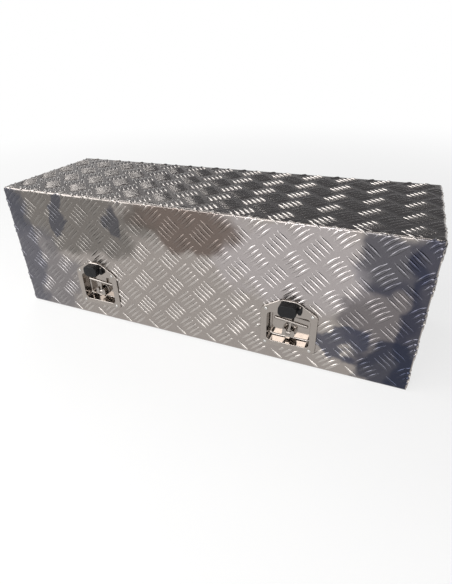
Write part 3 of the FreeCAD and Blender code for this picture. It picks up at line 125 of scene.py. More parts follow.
def rolledAluminium(name, light, dark, roughness, bump):
    made, tree, shader = newMaterial(name, Metallic=1.0)
    place = addNode(tree, "ShaderNodeTexCoord").outputs["Object"]
    clouds = addNode(tree, "ShaderNodeTexNoise", {
        "Vector": place, "Scale": 1 / (treadPlate["cloudSize"] * mm), "Detail": 3.0,
        "Roughness": 0.55})
    stretched = addNode(tree, "ShaderNodeMapping", {
        "Vector": place,
        "Scale": (1 / (treadPlate["streakLength"] * mm), 1 / (treadPlate["streakWidth"] * mm),
                  1 / (treadPlate["streakWidth"] * mm))})
    streaks = addNode(tree, "ShaderNodeTexNoise", {
        "Vector": stretched.outputs[0], "Scale": 1.0, "Detail": 4.0, "Roughness": 0.6})
    grain = addNode(tree, "ShaderNodeTexNoise", {
        "Vector": place, "Scale": 1 / (treadPlate["grain"] * mm), "Detail": 2.0})
    both = addNode(tree, "ShaderNodeMix", {
        "Factor": 0.35, 2: clouds.outputs[0], 3: streaks.outputs[0]}, data_type="FLOAT")
    colour = addNode(tree, "ShaderNodeMix", {
        "Factor": both.outputs[0], 6: linear(dark), 7: linear(light)}, data_type="RGBA")
    # the edges of the painted reflection areas wander
    waver = addNode(tree, "ShaderNodeTexNoise", {
        "Vector": place, "Scale": 1 / (treadPlate["wanderSize"] * mm), "Detail": 3.0})
    shifted = addNode(tree, "ShaderNodeVectorMath", {
        0: waver.outputs["Color"], 2: place,
        1: (2 * treadPlate["wander"] * mm, 0.0, 2 * treadPlate["wander"] * mm)},
        operation="MULTIPLY_ADD")
    # painted reflections: each area blends a darker or lighter tint into the base colour, standing for mirrored
    # surroundings
    paintedReflections = colour
    for area in paintedReflectionAreas.values():
        middle = [(c + w) * mm for c, w in zip(area["middle"], (treadPlate["wander"], 0, treadPlate["wander"]))]
        away = addNode(tree, "ShaderNodeVectorMath", {
            0: shifted.outputs[0], 1: middle}, operation="SUBTRACT")
        shares = addNode(tree, "ShaderNodeVectorMath", {
            0: away.outputs[0], 1: [h * mm for h in area["half"]]}, operation="DIVIDE")
        share = addNode(tree, "ShaderNodeVectorMath", {0: shares.outputs[0]}, operation="LENGTH")
        inside = addNode(tree, "ShaderNodeMapRange", {
            "Value": share.outputs["Value"], "From Min": 1.15, "From Max": 0.78,
            "To Min": 0.0, "To Max": area["strength"]}, interpolation_type="SMOOTHSTEP")
        paintedReflections = addNode(tree, "ShaderNodeMix", {
            "Factor": inside.outputs[0], 6: paintedReflections.outputs[2], 7: linear(area["tint"])},
            data_type="RGBA")
    # the painted reflections are kept to the flat front
    depth = addNode(tree, "ShaderNodeSeparateXYZ", {0: place}).outputs["Y"]
    onFront = addNode(tree, "ShaderNodeMapRange", {
        "Value": depth, "From Min": lidLow.y + bendRadius / 4, "From Max": lidLow.y + bendRadius / 16})
    colour = addNode(tree, "ShaderNodeMix", {
        "Factor": onFront.outputs[0], 6: colour.outputs[2], 7: paintedReflections.outputs[2]}, data_type="RGBA")
    shine = addNode(tree, "ShaderNodeMapRange", {
        "Value": both.outputs[0], "From Min": 0.3, "From Max": 0.7,
        "To Min": roughness[1], "To Max": roughness[0]})
    relief = addNode(tree, "ShaderNodeMix", {
        "Factor": 0.4, 2: streaks.outputs[0], 3: grain.outputs[0]}, data_type="FLOAT")
    bumps = addNode(tree, "ShaderNodeBump", {
        "Strength": bump, "Distance": 0.3 * mm, "Height": relief.outputs[0]})
    tree.links.new(colour.outputs[2], shader.inputs["Base Color"])
    tree.links.new(shine.outputs[0], shader.inputs["Roughness"])
    tree.links.new(bumps.outputs[0], shader.inputs["Normal"])
    return made


# Buffed 304 stainless, pressed: near mirror, faintly wavy from the press, with
# wipe marks that only change its gloss. Scales are marks per metre.
stainless = {"tint": "A09993", "roughness": (0.07, 0.16), "waves": 55.0, "wipes": 240.0,
             "waveBump": 0.25}


def buffedStainless(name, tint, roughness):
    made, tree, shader = newMaterial(name, Metallic=1.0, Base_Color=linear(tint))
    place = addNode(tree, "ShaderNodeTexCoord").outputs["Object"]
    wave = addNode(tree, "ShaderNodeTexNoise", {
        "Vector": place, "Scale": stainless["waves"], "Detail": 1.0})
    wipes = addNode(tree, "ShaderNodeTexNoise", {
        "Vector": place, "Scale": stainless["wipes"], "Detail": 4.0})
    shine = addNode(tree, "ShaderNodeMapRange", {
        "Value": wipes.outputs[0], "From Min": 0.3, "From Max": 0.7,
        "To Min": roughness[0], "To Max": roughness[1]})
    bumps = addNode(tree, "ShaderNodeBump", {
        "Strength": stainless["waveBump"], "Distance": 0.5 * mm, "Height": wave.outputs[0]})
    tree.links.new(shine.outputs[0], shader.inputs["Roughness"])
    tree.links.new(bumps.outputs[0], shader.inputs["Normal"])
    return made


# Fine-grained finishes: zinc plating, chrome, paint, rubber and moulded plastic.
# Grain gives the size of the mottle in millimetres, and depth its bump.
patchesPerMetre = 40.0


def grainedFinish(name, light, dark, metallic, roughness, grain, depth, **fixed):
    made, tree, shader = newMaterial(name, Metallic=metallic, **fixed)
    place = addNode(tree, "ShaderNodeTexCoord").outputs["Object"]
    mottle = addNode(tree, "ShaderNodeTexNoise", {
        "Vector": place, "Scale": 1 / (grain * mm), "Detail": 3.0, "Roughness": 0.6})
    patches = addNode(tree, "ShaderNodeTexNoise", {
        "Vector": place, "Scale": patchesPerMetre, "Detail": 2.0})
    colour = addNode(tree, "ShaderNodeMix", {
        "Factor": patches.outputs[0], 6: linear(dark), 7: linear(light)}, data_type="RGBA")
    shine = addNode(tree, "ShaderNodeMapRange", {
        "Value": patches.outputs[0], "From Min": 0.3, "From Max": 0.7,
        "To Min": roughness[0], "To Max": roughness[1]})
    bumps = addNode(tree, "ShaderNodeBump", {
        "Strength": depth, "Distance": 0.2 * mm, "Height": mottle.outputs[0]})
    tree.links.new(colour.outputs[2], shader.inputs["Base Color"])
    tree.links.new(shine.outputs[0], shader.inputs["Roughness"])
    tree.links.new(bumps.outputs[0], shader.inputs["Normal"])
    return made


finishes = {
    "tread_plate": rolledAluminium("millTreadPlate", treadPlate["light"], treadPlate["dark"],
                                   treadPlate["roughness"], treadPlate["bump"]),
    "stainless": buffedStainless("buffedStainless", stainless["tint"], stainless["roughness"]),
    "hinge_steel": grainedFinish("rolledStainless", "B9B7B2", "A19F9B", 1.0, (0.24, 0.34), 0.8, 0.10),
    "zinc_steel": grainedFinish("zincPlate", "B4B6B4", "9A9B98", 1.0, (0.28, 0.42), 0.6, 0.18),
    "lock_zinc": grainedFinish("platedZinc", "C6C4C0", "B2B0AD", 1.0, (0.14, 0.24), 0.7, 0.08),
    "rod_chrome": grainedFinish("hardChrome", "D6D7D9", "C9CACC", 1.0, (0.05, 0.09), 1.0, 0.02),
    "strut_black": grainedFinish("satinBlackPaint", "1C1C1D", "131314", 0.0, (0.30, 0.42), 0.9, 0.10),
    "seal_rubber": grainedFinish("epdmRubber", "1B1B1C", "111112", 0.0, (0.72, 0.85), 0.5, 0.30),
    "black_plastic": grainedFinish("mouldedAbs", "0E0E10", "09090A", 0.0, (0.48, 0.62), 0.5, 0.22,
                                   Specular_IOR_Level=0.3),
}
# the bars of the tread are rubbed brighter than the sheet between them
barFinish = rolledAluminium("millTreadBars", "BCB6B1", "A19B96", (0.15, 0.23), 0.02)
for row in frame["record"]["subparts"]:
    shown = nodes[row["node"]]
    shown.data.materials.clear()
    shown.data.materials.append(finishes[row["material_slot"]])
print("materials made:", len(finishes) + 1)

# ---- tread bars: raised on the flat sheet, then folded with it

tread = {
    "Bar Length": 34 * mm, "Bar Width": 5.6 * mm, "Bar Height": 1.7 * mm,
    "Foot Depth": 0.1 * mm, "Tip Depth": 0.3 * mm, "Bar Spacing": 8.1 * mm, "Lean": math.radians(41.5),
    "Pitch Along": 60.55 * mm, "Pitch Up": 53.2 * mm,
}


def treadTree():
    tree = bpy.data.node_groups.new("foldedTreadPlate", "GeometryNodeTree")
    tree.interface.new_socket("Geometry", in_out="OUTPUT", socket_type="NodeSocketGeometry")
    kinds = {"Rows": "NodeSocketInt", "Columns": "NodeSocketInt",
             "Turn": "NodeSocketVector", "Move": "NodeSocketVector",
             "Finish": "NodeSocketMaterial"}
    for name in ("Bar Length", "Bar Width", "Bar Height", "Foot Depth", "Tip Depth", "Bar Spacing", "Lean",
                 "Pitch Along", "Pitch Up", "Start Along", "Start Up", "Columns", "Rows",
                 "End Bend", "End Reach", "Top Bend", "Low Edge", "Top Reach",
                 "Bend Radius", "Latch Span", "Hole Middle", "Hole Half Along", "Hole Half Up",
                 "Turn", "Move", "Finish"):
        tree.interface.new_socket(name, in_out="INPUT",
                                  socket_type=kinds.get(name, "NodeSocketFloat"))
    given = addNode(tree, "NodeGroupInput").outputs
    node = lambda kind, inputs=None, **settings: addNode(tree, kind, inputs, **settings).outputs
    calc = lambda operation, *terms: node(
        "ShaderNodeMath", dict(enumerate(terms)), operation=operation)[0]

    # one bar: a pointed lens along X, with a rounded back, and its foot and tips in the sheet
    line = node("GeometryNodeCurvePrimitiveLine", {
        "Start": node("ShaderNodeCombineXYZ", {"X": calc("MULTIPLY", given["Bar Length"], -0.5)})[0],
        "End": node("ShaderNodeCombineXYZ", {"X": calc("MULTIPLY", given["Bar Length"], 0.5)})[0]})
    spaced = node("GeometryNodeResampleCurve", {"Curve": line[0], "Count": 8})
    along = calc("SUBTRACT", calc("MULTIPLY", node("GeometryNodeSplineParameter")["Factor"], 2.0), 1.0)
    swell = calc("SUBTRACT", 1.0, calc("MULTIPLY", along, along))
    dip = calc("MULTIPLY", calc("POWER", along, 4.0), calc("MULTIPLY", given["Tip Depth"], -1.0))
    dipped = node("GeometryNodeSetPosition", {
        "Geometry": spaced[0], "Offset": node("ShaderNodeCombineXYZ", {"Z": dip})[0]})
    half = calc("MULTIPLY", given["Bar Width"], 0.5)
    squared = calc("MULTIPLY", given["Bar Height"], given["Bar Height"])
    backRadius = calc("DIVIDE", calc("MULTIPLY_ADD", half, half, squared),
                      calc("MULTIPLY", given["Bar Height"], 2.0))
    steep = calc("ARCSINE", calc("DIVIDE", half, backRadius))
    back = node("GeometryNodeCurveArc", {
        "Resolution": 7, "Radius": backRadius, "Start Angle": calc("SUBTRACT", 1.5 * math.pi, steep),
        "Sweep Angle": calc("MULTIPLY", steep, 2.0)}, mode="RADIUS")
    sunk = calc("ADD", calc("SUBTRACT", backRadius, given["Bar Height"]), given["Foot Depth"])
    lowered = node("GeometryNodeTransform", {
        "Geometry": back[0], "Translation": node("ShaderNodeCombineXYZ", {"Y": sunk})[0]})
    foot = node("GeometryNodeSetSplineCyclic", {"Geometry": lowered[0], "Cyclic": True})
    swept = node("GeometryNodeCurveToMesh", {
        "Curve": dipped[0], "Profile Curve": foot[0], "Scale": swell})
    closed = node("GeometryNodeMergeByDistance", {"Geometry": swept[0], "Distance": 0.02 * mm})
    facing = node("ShaderNodeSeparateXYZ", {0: node("GeometryNodeInputNormal")[0]})["Z"]
    bar = node("GeometryNodeSetShadeSmooth", {
        "Geometry": closed[0], "Shade Smooth": node("FunctionNodeCompare", {0: facing, 1: -0.5})[0]})

    # five to a group, and groups leaning both ways on a lattice
    five = node("GeometryNodeMeshLine", {
        "Count": 5,
        "Start Location": node("ShaderNodeCombineXYZ", {"Y": calc("MULTIPLY", given["Bar Spacing"], -2.0)})[0],
        "Offset": node("ShaderNodeCombineXYZ", {"Y": given["Bar Spacing"]})[0]},
        mode="OFFSET")
    bars = []
    for way, shift in ((-1.0, 0.0), (1.0, 0.5)):
        lattice = node("GeometryNodeMeshGrid", {
            "Size X": calc("MULTIPLY", calc("SUBTRACT", given["Columns"], 1.0), given["Pitch Along"]),
            "Size Y": calc("MULTIPLY", calc("SUBTRACT", given["Rows"], 1.0), given["Pitch Up"]),
            "Vertices X": given["Columns"], "Vertices Y": given["Rows"]})
        corner = node("ShaderNodeCombineXYZ", {
            "X": calc("ADD", calc("MULTIPLY_ADD", calc("SUBTRACT", given["Columns"], 1.0),
                                  calc("MULTIPLY", given["Pitch Along"], 0.5), given["Start Along"]),
                      calc("MULTIPLY", given["Pitch Along"], shift)),
            "Y": calc("ADD", calc("MULTIPLY_ADD", calc("SUBTRACT", given["Rows"], 1.0),
                                  calc("MULTIPLY", given["Pitch Up"], 0.5), given["Start Up"]),
                      calc("MULTIPLY", given["Pitch Up"], shift))})
        placed = node("GeometryNodeSetPosition", {"Geometry": lattice[0], "Offset": corner[0]})
        turn = node("ShaderNodeCombineXYZ", {"Z": calc("MULTIPLY", given["Lean"], way)})
        groups = node("GeometryNodeInstanceOnPoints", {
            "Points": placed[0], "Instance": five[0], "Rotation": turn[0]})
        spots = node("GeometryNodeRealizeInstances", {"Geometry": groups[0]})
        bars.append(barsOnSheet(node, calc, given, spots[0], bar[0], turn[0], way))
    joined = addNode(tree, "GeometryNodeJoinGeometry")
    for each in reversed(bars):
        tree.links.new(each, joined.inputs[0])
    folded = foldedOver(node, calc, given, joined.outputs[0])
    merged = node("GeometryNodeMergeByDistance", {"Geometry": folded, "Distance": 0.02 * mm})
    real = node("GeometryNodeRealizeInstances", {"Geometry": merged[0]})
    painted = node("GeometryNodeSetMaterial", {"Geometry": real[0], "Material": given["Finish"]})
    addNode(tree, "NodeGroupOutput", {0: painted[0]})
    return tree


# Bars whose middles lie off the sheet, in its cut corners or over a latch's hole are
# left out. One that only reaches into the hole keeps its outer half, and one that
# crosses an edge is cut there, along its own length.
def barsOnSheet(node, calc, given, spots, bar, turn, way):
    at = node("ShaderNodeSeparateXYZ", {0: node("GeometryNodeInputPosition")[0]})
    past = calc("SUBTRACT", calc("ABSOLUTE", at["X"]), given["End Bend"])
    offCorner = calc("ABSOLUTE", calc("SUBTRACT", at["Y"], calc("ADD", given["Top Bend"], bendArc / 2)))
    runX = calc("MULTIPLY", calc("COSINE", given["Lean"]), given["Bar Length"])
    runY = calc("MULTIPLY", calc("MULTIPLY", calc("SINE", given["Lean"]), given["Bar Length"]), way)
    overHole = []
    for share in (0.0, -0.5, 0.5):
        tipX = calc("MULTIPLY_ADD", runX, share, at["X"])
        tipY = calc("MULTIPLY_ADD", runY, share, at["Y"])
        beside = calc("ABSOLUTE", calc("SUBTRACT", calc("ABSOLUTE", tipX),
                                       calc("MULTIPLY", given["Latch Span"], 0.5)))
        above = calc("ABSOLUTE", calc("SUBTRACT", tipY, given["Hole Middle"]))
        overHole.append(calc("MULTIPLY", calc("LESS_THAN", beside, given["Hole Half Along"]),
                             calc("LESS_THAN", above, given["Hole Half Up"])))
    total = overHole[0]
    for test in (
            calc("GREATER_THAN", calc("ABSOLUTE", at["X"]), given["End Reach"]),
            calc("GREATER_THAN", at["Y"], given["Top Reach"]),
            calc("LESS_THAN", at["Y"], given["Low Edge"]),
            calc("MULTIPLY", calc("GREATER_THAN", past, bendArc / 3),
                 calc("LESS_THAN", offCorner, calc("ADD", past, bendArc)))):
        total = calc("ADD", total, test)
    kept = node("GeometryNodeDeleteGeometry", {
        "Geometry": spots, "Selection": calc("GREATER_THAN", total, 0.5)}, domain="POINT")
    side = calc("SUBTRACT", overHole[1], overHole[2])
    quarter = calc("MULTIPLY", side, 0.25)
    outward = node("ShaderNodeCombineXYZ", {
        "X": calc("MULTIPLY", runX, quarter), "Y": calc("MULTIPLY", runY, quarter)})
    halved = node("ShaderNodeCombineXYZ", {
        "X": calc("SUBTRACT", 1.0, calc("MULTIPLY", calc("ABSOLUTE", side), 0.5)), "Y": 1.0, "Z": 1.0})
    marked = node("GeometryNodeStoreNamedAttribute", {
        "Geometry": kept[0], "Name": "barScale", "Value": halved[0]}, data_type="FLOAT_VECTOR")
    moved = node("GeometryNodeSetPosition", {"Geometry": marked[0], "Offset": outward[0]})
    scale = node("GeometryNodeInputNamedAttribute", {"Name": "barScale"}, data_type="FLOAT_VECTOR")
    laid = node("GeometryNodeInstanceOnPoints", {
        "Points": moved[0], "Instance": bar, "Rotation": turn, "Scale": scale[0]})
    real = node("GeometryNodeRealizeInstances", {"Geometry": laid[0]})
    # each corner past an edge slides back to it along the bar
    at = node("ShaderNodeSeparateXYZ", {0: node("GeometryNodeInputPosition")[0]})
    slope = calc("MULTIPLY", calc("TANGENT", given["Lean"]), way)
    overY = calc("SUBTRACT", at["Y"], calc("MINIMUM", calc("MAXIMUM", at["Y"], given["Low Edge"]),
                                           given["Top Reach"]))
    slidX = calc("SUBTRACT", at["X"], calc("DIVIDE", overY, slope))
    limit = given["End Reach"]
    overX = calc("SUBTRACT", slidX, calc("MINIMUM", calc("MAXIMUM", slidX, calc("MULTIPLY", limit, -1.0)),
                                         limit))
    slidY = calc("SUBTRACT", calc("SUBTRACT", at["Y"], overY), calc("MULTIPLY", overX, slope))
    slid = node("ShaderNodeCombineXYZ", {
        "X": calc("SUBTRACT", slidX, overX), "Y": slidY, "Z": at["Z"]})
    return node("GeometryNodeSetPosition", {"Geometry": real[0], "Position": slid[0]})[0]


# The flat sheet lies in X and Y, with Y up the front. Its ends are folded back at
# End Bend and its top at Top Bend, and it is stood up.
def foldedOver(node, calc, given, sheet):
    at = node("ShaderNodeSeparateXYZ", {0: node("GeometryNodeInputPosition")[0]})
    along = calc("ABSOLUTE", at["X"])
    up = at["Y"]
    proud = at["Z"]
    radius = given["Bend Radius"]
    folded = []
    for distance, bend in ((along, given["End Bend"]), (up, given["Top Bend"])):
        past = calc("MAXIMUM", calc("SUBTRACT", distance, bend), 0.0)
        angle = calc("MINIMUM", calc("DIVIDE", past, radius), math.pi / 2)
        beyond = calc("MAXIMUM", calc("SUBTRACT", past, calc("MULTIPLY", radius, math.pi / 2)), 0.0)
        reach = calc("ADD", radius, proud)
        folded.append(calc("MULTIPLY_ADD", reach, calc("SINE", angle), calc("MINIMUM", distance, bend)))
        proud = calc("SUBTRACT", calc("SUBTRACT", calc("MULTIPLY", reach, calc("COSINE", angle)), radius),
                     beyond)
    stood = node("ShaderNodeCombineXYZ", {
        "X": calc("MULTIPLY", folded[0], calc("SIGN", at["X"])),
        "Y": calc("MULTIPLY", proud, -1.0), "Z": folded[1]})
    shaped = node("GeometryNodeSetPosition", {"Geometry": sheet, "Position": stood[0]})
    return node("GeometryNodeTransform", {
        "Geometry": shaped[0], "Rotation": given["Turn"], "Translation": given["Move"]})[0]


# a node tree's result on some points, as a plain mesh
def evaluated(tree, settings, points=()):
    mesh = bpy.data.meshes.new("blank")
    mesh.from_pydata([list(point) for point in points], [], [])
    carrier = bpy.data.objects.new("carrier", mesh)
    bpy.context.scene.collection.objects.link(carrier)
    modifier = carrier.modifiers.new("tree", "NODES")
    modifier.node_group = tree
    for item in tree.interface.items_tree:
        if item.in_out == "INPUT" and item.name in settings:
            modifier[item.identifier] = settings[item.name]
    graph = bpy.context.evaluated_depsgraph_get()
    made = bpy.data.meshes.new_from_object(carrier.evaluated_get(graph))
    carrier.modifiers.clear()
    bpy.data.objects.remove(carrier)
    return made


# one object from several meshes, riding on a body
def newPiece(name, meshes, body):
    points, faces, smooth = [], [], []
    for mesh in meshes:
        start = len(points)
        points += [v.co[:] for v in mesh.vertices]
        faces += [[start + k for k in face.vertices] for face in mesh.polygons]
        smooth += [face.use_smooth for face in mesh.polygons]
    whole = bpy.data.meshes.new(name)
    whole.from_pydata(points, [], faces)
    whole.polygons.foreach_set("use_smooth", smooth)
    whole.set_sharp_from_angle(angle=math.radians(60))
    whole.materials.append([m for m in meshes[0].materials if m][0])
    piece = bpy.data.objects.new(name, whole)
    bpy.context.scene.collection.objects.link(piece)
    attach(piece, body)
    return piece


bendArc = bendRadius * math.pi / 2
tubLow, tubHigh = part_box("tub_sheet")
panelLow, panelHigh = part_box("end_panel_right")
flangeDepth = 30 * mm
hingeClear = 22 * mm    # below the tub's top edge, where the hinge leaf lies
firstGroup = -323 * mm  # the leftmost group that leans down to the right
frontRow = 53 * mm      # height of a row of groups on the front
plainRow = 20 * mm      # and on the back and the ends
endShift = 9 * mm       # how far the pattern of the ends is moved along them
latchSpan = 375 * mm
latchHoles = {
    "Latch Span": latchSpan, "Hole Middle": 68.5 * mm,
    "Hole Half Along": 38 * mm, "Hole Half Up": 30.5 * mm,
}
noHoles = {"Latch Span": 0.0, "Hole Middle": 0.0, "Hole Half Along": 0.0, "Hole Half Up": 0.0}
sheets = {
    "lid": {
        "Start Along": firstGroup - tread["Pitch Along"], "Start Up": frontRow - tread["Pitch Up"],
        "Columns": 14, "Rows": 11,
        "End Bend": lidHigh.x - bendRadius,
        "End Reach": lidHigh.x - 2 * bendRadius + bendArc + flangeDepth,
        "Top Bend": lidHigh.z - bendRadius, "Low Edge": lidLow.z + bendRadius,
        "Top Reach": lidHigh.z - 3 * bendRadius + bendArc + lidHigh.y - lidLow.y,
        "Bend Radius": bendRadius,
        **latchHoles, "Turn": (0.0, 0.0, 0.0), "Move": (0.0, lidLow.y, 0.0),
    },
    "back": {
        "Start Along": firstGroup - tread["Pitch Along"], "Start Up": plainRow - tubHigh.z,
        "Columns": 14, "Rows": 9,
        "End Bend": 1.0, "End Reach": tubHigh.x,
        "Top Bend": -bendRadius, "Low Edge": hingeClear - tubHigh.z,
        "Top Reach": -bendRadius, "Bend Radius": bendRadius,
        **noHoles, "Turn": (math.pi, 0.0, 0.0), "Move": (0.0, tubHigh.y, 0.0),
    },
}
for side, sign in (("Left", -1), ("Right", 1)):
    middle = (panelLow.y + panelHigh.y) / 2
    sheets["end" + side] = {
        "Start Along": -2 * tread["Pitch Along"] + endShift, "Start Up": plainRow,
        "Columns": 5, "Rows": 5,
        "End Bend": 1.0, "End Reach": (panelHigh.y - panelLow.y) / 2 - bendRadius,
        "Top Bend": 1.0, "Low Edge": bendRadius, "Top Reach": panelHigh.z - bendRadius,
        "Bend Radius": bendRadius,
        **noHoles, "Turn": (0.0, 0.0, sign * math.pi / 2),
        "Move": (sign * panelHigh.x, middle, 0.0),
    }
sheetTree = treadTree()
barMeshes = {name: evaluated(sheetTree, {**tread, **given, "Finish": barFinish})
             for name, given in sheets.items()}
newPiece("treadBarsLid", [barMeshes["lid"]], "lid")
newPiece("treadBarsTub", [barMeshes[name] for name in ("back", "endLeft", "endRight")],
         "tub")
print("tread bars:", {name: len(mesh.polygons) for name, mesh in barMeshes.items()})

# ---- rivets: dome heads on the latch plates, the hinge and the strut brackets

rivet = {"Head Radius": 3.0 * mm, "Head Height": 1.5 * mm}
rivetPlaces = {
    "latchOut": 37 * mm, "latchUp": (36.5 * mm, 102 * mm), "plateProud": 2 * mm,
    "hingePitch": 50 * mm, "hingeEachWay": 7, "leafSink": 1.2 * mm, "leafUp": 6 * mm,
    "bracketOut": 6 * mm, "bracketUp": 9 * mm, "bracketThick": 2.5 * mm,
}


def rivetTree():
    tree = bpy.data.node_groups.new("domeRivets", "GeometryNodeTree")
    tree.interface.new_socket("Geometry", in_out="INPUT", socket_type="NodeSocketGeometry")
    tree.interface.new_socket("Geometry", in_out="OUTPUT", socket_type="NodeSocketGeometry")
    for name, kind in (("Head Radius", "Float"), ("Head Height", "Float"), ("Turn", "Vector"),
                       ("Finish", "Material")):
        tree.interface.new_socket(name, in_out="INPUT", socket_type="NodeSocket" + kind)
    given = addNode(tree, "NodeGroupInput").outputs
    ball = addNode(tree, "GeometryNodeMeshUVSphere", {"Segments": 12, "Rings": 8, "Radius": 1.0})
    size = addNode(tree, "ShaderNodeCombineXYZ", {
        "X": given["Head Radius"], "Y": given["Head Radius"], "Z": given["Head Height"]})
    head = addNode(tree, "GeometryNodeTransform", {"Geometry": ball.outputs[0], "Scale": size.outputs[0]})
    smooth = addNode(tree, "GeometryNodeSetShadeSmooth", {"Geometry": head.outputs[0]})
    heads = addNode(tree, "GeometryNodeInstanceOnPoints", {
        "Points": given["Geometry"], "Instance": smooth.outputs[0], "Rotation": given["Turn"]})
    real = addNode(tree, "GeometryNodeRealizeInstances", {"Geometry": heads.outputs[0]})
    painted = addNode(tree, "GeometryNodeSetMaterial", {
        "Geometry": real.outputs[0], "Material": given["Finish"]})
    addNode(tree, "NodeGroupOutput", {0: painted.outputs[0]})
    return tree


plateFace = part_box("latch_gasket_right")[0].y - rivetPlaces["plateProud"]
latchSpots = [(side * latchSpan / 2 + out * rivetPlaces["latchOut"], plateFace, up)
              for side in (-1, 1) for out in (-1, 1) for up in rivetPlaces["latchUp"]]
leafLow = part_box("hinge_leaf_tub")[0]
eachWay = rivetPlaces["hingeEachWay"]
hingeSpots = [(k * rivetPlaces["hingePitch"], leafLow.y + rivetPlaces["leafSink"],
               leafLow.z + rivetPlaces["leafUp"]) for k in range(-eachWay, eachWay + 1)]
tubSpots, lidSpots = [], []
for side, sign in (("left", -1), ("right", 1)):
    low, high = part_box("strut_bracket_tub_" + side)
    wall = high.x if sign > 0 else low.x
    tubSpots += [(wall - sign * rivetPlaces["bracketThick"],
                  (low.y + high.y) / 2 + out * rivetPlaces["bracketOut"],
                  low.z + rivetPlaces["bracketUp"]) for out in (-1, 1)]
    low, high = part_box("strut_bracket_lid_" + side)
    inner = low.x if sign > 0 else high.x
    lidSpots += [(inner + sign * rivetPlaces["bracketUp"],
                  (low.y + high.y) / 2 + out * rivetPlaces["bracketOut"],
                  high.z - rivetPlaces["bracketThick"]) for out in (-1, 1)]
rivetNodes = rivetTree()
rivetRows = {
    "latchRivets": ("lid", "lock_zinc", latchSpots, (math.pi / 2, 0.0, 0.0)),
    "hingeRivets": ("tub", "hinge_steel", hingeSpots, (math.pi / 2, 0.0, 0.0)),
    "bracketRivetsTub": ("tub", "zinc_steel", tubSpots, (0.0, math.pi / 2, 0.0)),
    "bracketRivetsLid": ("lid", "zinc_steel", lidSpots, (0.0, 0.0, 0.0)),
}
for name, (body, slot, spots, turn) in rivetRows.items():
    heads = evaluated(rivetNodes, {**rivet, "Turn": turn, "Finish": finishes[slot]}, spots)
    newPiece(name, [heads], body)
print("rivets:", {name: len(row[2]) for name, row in rivetRows.items()})

# ---- floor, lights and camera

studio = {"paper": "F3F2F0", "fibre": "EFEEEC", "radius": 6.0, "cove": 0.6, "whiteTo": 1.1,
          "height": 1.5, "nearWhite": 0.72, "whiteFrom": 2.6, "steps": 96}
room = {"colour": "D5D8E0", "strength": 0.22}


# A round sheet of pale paper with a turned-up rim. What the camera and the metal see of
# it is lifted to white away from the box, and the floor near the box keeps its shadow.
def paleRound():
    made, tree, shader = newMaterial("palePaper", Roughness=0.9)
    place = addNode(tree, "ShaderNodeTexCoord").outputs["Object"]
    fibre = addNode(tree, "ShaderNodeTexNoise", {"Vector": place, "Scale": 400.0})
    colour = addNode(tree, "ShaderNodeMix", {
        "Factor": fibre.outputs[0], 6: linear(studio["fibre"]), 7: linear(studio["paper"])},
        data_type="RGBA")
    tree.links.new(colour.outputs[2], shader.inputs["Base Color"])
    seen = addNode(tree, "ShaderNodeLightPath").outputs
    ray = addNode(tree, "ShaderNodeMath", {0: seen["Is Camera Ray"], 1: seen["Is Glossy Ray"]},
                  operation="MAXIMUM")
    ray = addNode(tree, "ShaderNodeMath", {0: ray.outputs[0], 1: seen["Is Transmission Ray"]},
                  operation="MAXIMUM")
    split = addNode(tree, "ShaderNodeSeparateXYZ", {0: place})
    away = addNode(tree, "ShaderNodeVectorMath", {0: place}, operation="LENGTH")
    lift = addNode(tree, "ShaderNodeMapRange", {
        "Value": away.outputs["Value"], "From Min": 0.5, "From Max": studio["whiteFrom"],
        "To Min": studio["nearWhite"], "To Max": 1.0}, interpolation_type="SMOOTHSTEP")
    fade = addNode(tree, "ShaderNodeMapRange", {
        "Value": split.outputs["Z"], "From Min": studio["whiteTo"], "From Max": studio["height"]})
    white = addNode(tree, "ShaderNodeMix", {
        "Factor": fade.outputs[0], 6: linear("FFFFFF"), 7: linear(room["colour"])}, data_type="RGBA")
    level = addNode(tree, "ShaderNodeMix", {
        "Factor": fade.outputs[0], 2: 1.0, 3: room["strength"]}, data_type="FLOAT")
    glow = addNode(tree, "ShaderNodeEmission", {
        "Color": white.outputs[2], "Strength": level.outputs[0]})
    part = addNode(tree, "ShaderNodeMath", {0: ray.outputs[0], 1: lift.outputs[0]},
                   operation="MULTIPLY")
    mixed = addNode(tree, "ShaderNodeMixShader", {
        0: part.outputs[0], 1: shader.outputs[0], 2: glow.outputs[0]})
    output = [n for n in tree.nodes if n.bl_idname == "ShaderNodeOutputMaterial"][0]
    tree.links.new(mixed.outputs[0], output.inputs["Surface"])
    radius, cove = studio["radius"], studio["cove"]
    profile = [(radius - cove, 0.0)]
    profile += [(radius - cove + cove * math.sin(k * math.pi / 16),
                 cove - cove * math.cos(k * math.pi / 16)) for k in range(1, 9)]
    profile.append((radius, studio["height"]))
    steps = studio["steps"]
    points = [(0.0, 0.0, 0.0)]
    points += [(r * math.cos(2 * math.pi * k / steps), r * math.sin(2 * math.pi * k / steps), z)
               for r, z in profile for k in range(steps)]
    faces = [(0, 1 + k, 1 + (k + 1) % steps) for k in range(steps)]
    for ring in range(len(profile) - 1):
        first, second = 1 + ring * steps, 1 + (ring + 1) * steps
        faces += [(first + k, second + k, second + (k + 1) % steps, first + (k + 1) % steps)
                  for k in range(steps)]
    mesh = bpy.data.meshes.new("paleRound")
    mesh.from_pydata(points, [], faces)
    mesh.materials.append(made)
    paper = bpy.data.objects.new("paleRound", mesh)
    bpy.context.scene.collection.objects.link(paper)
    paper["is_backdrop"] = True


paleRound()

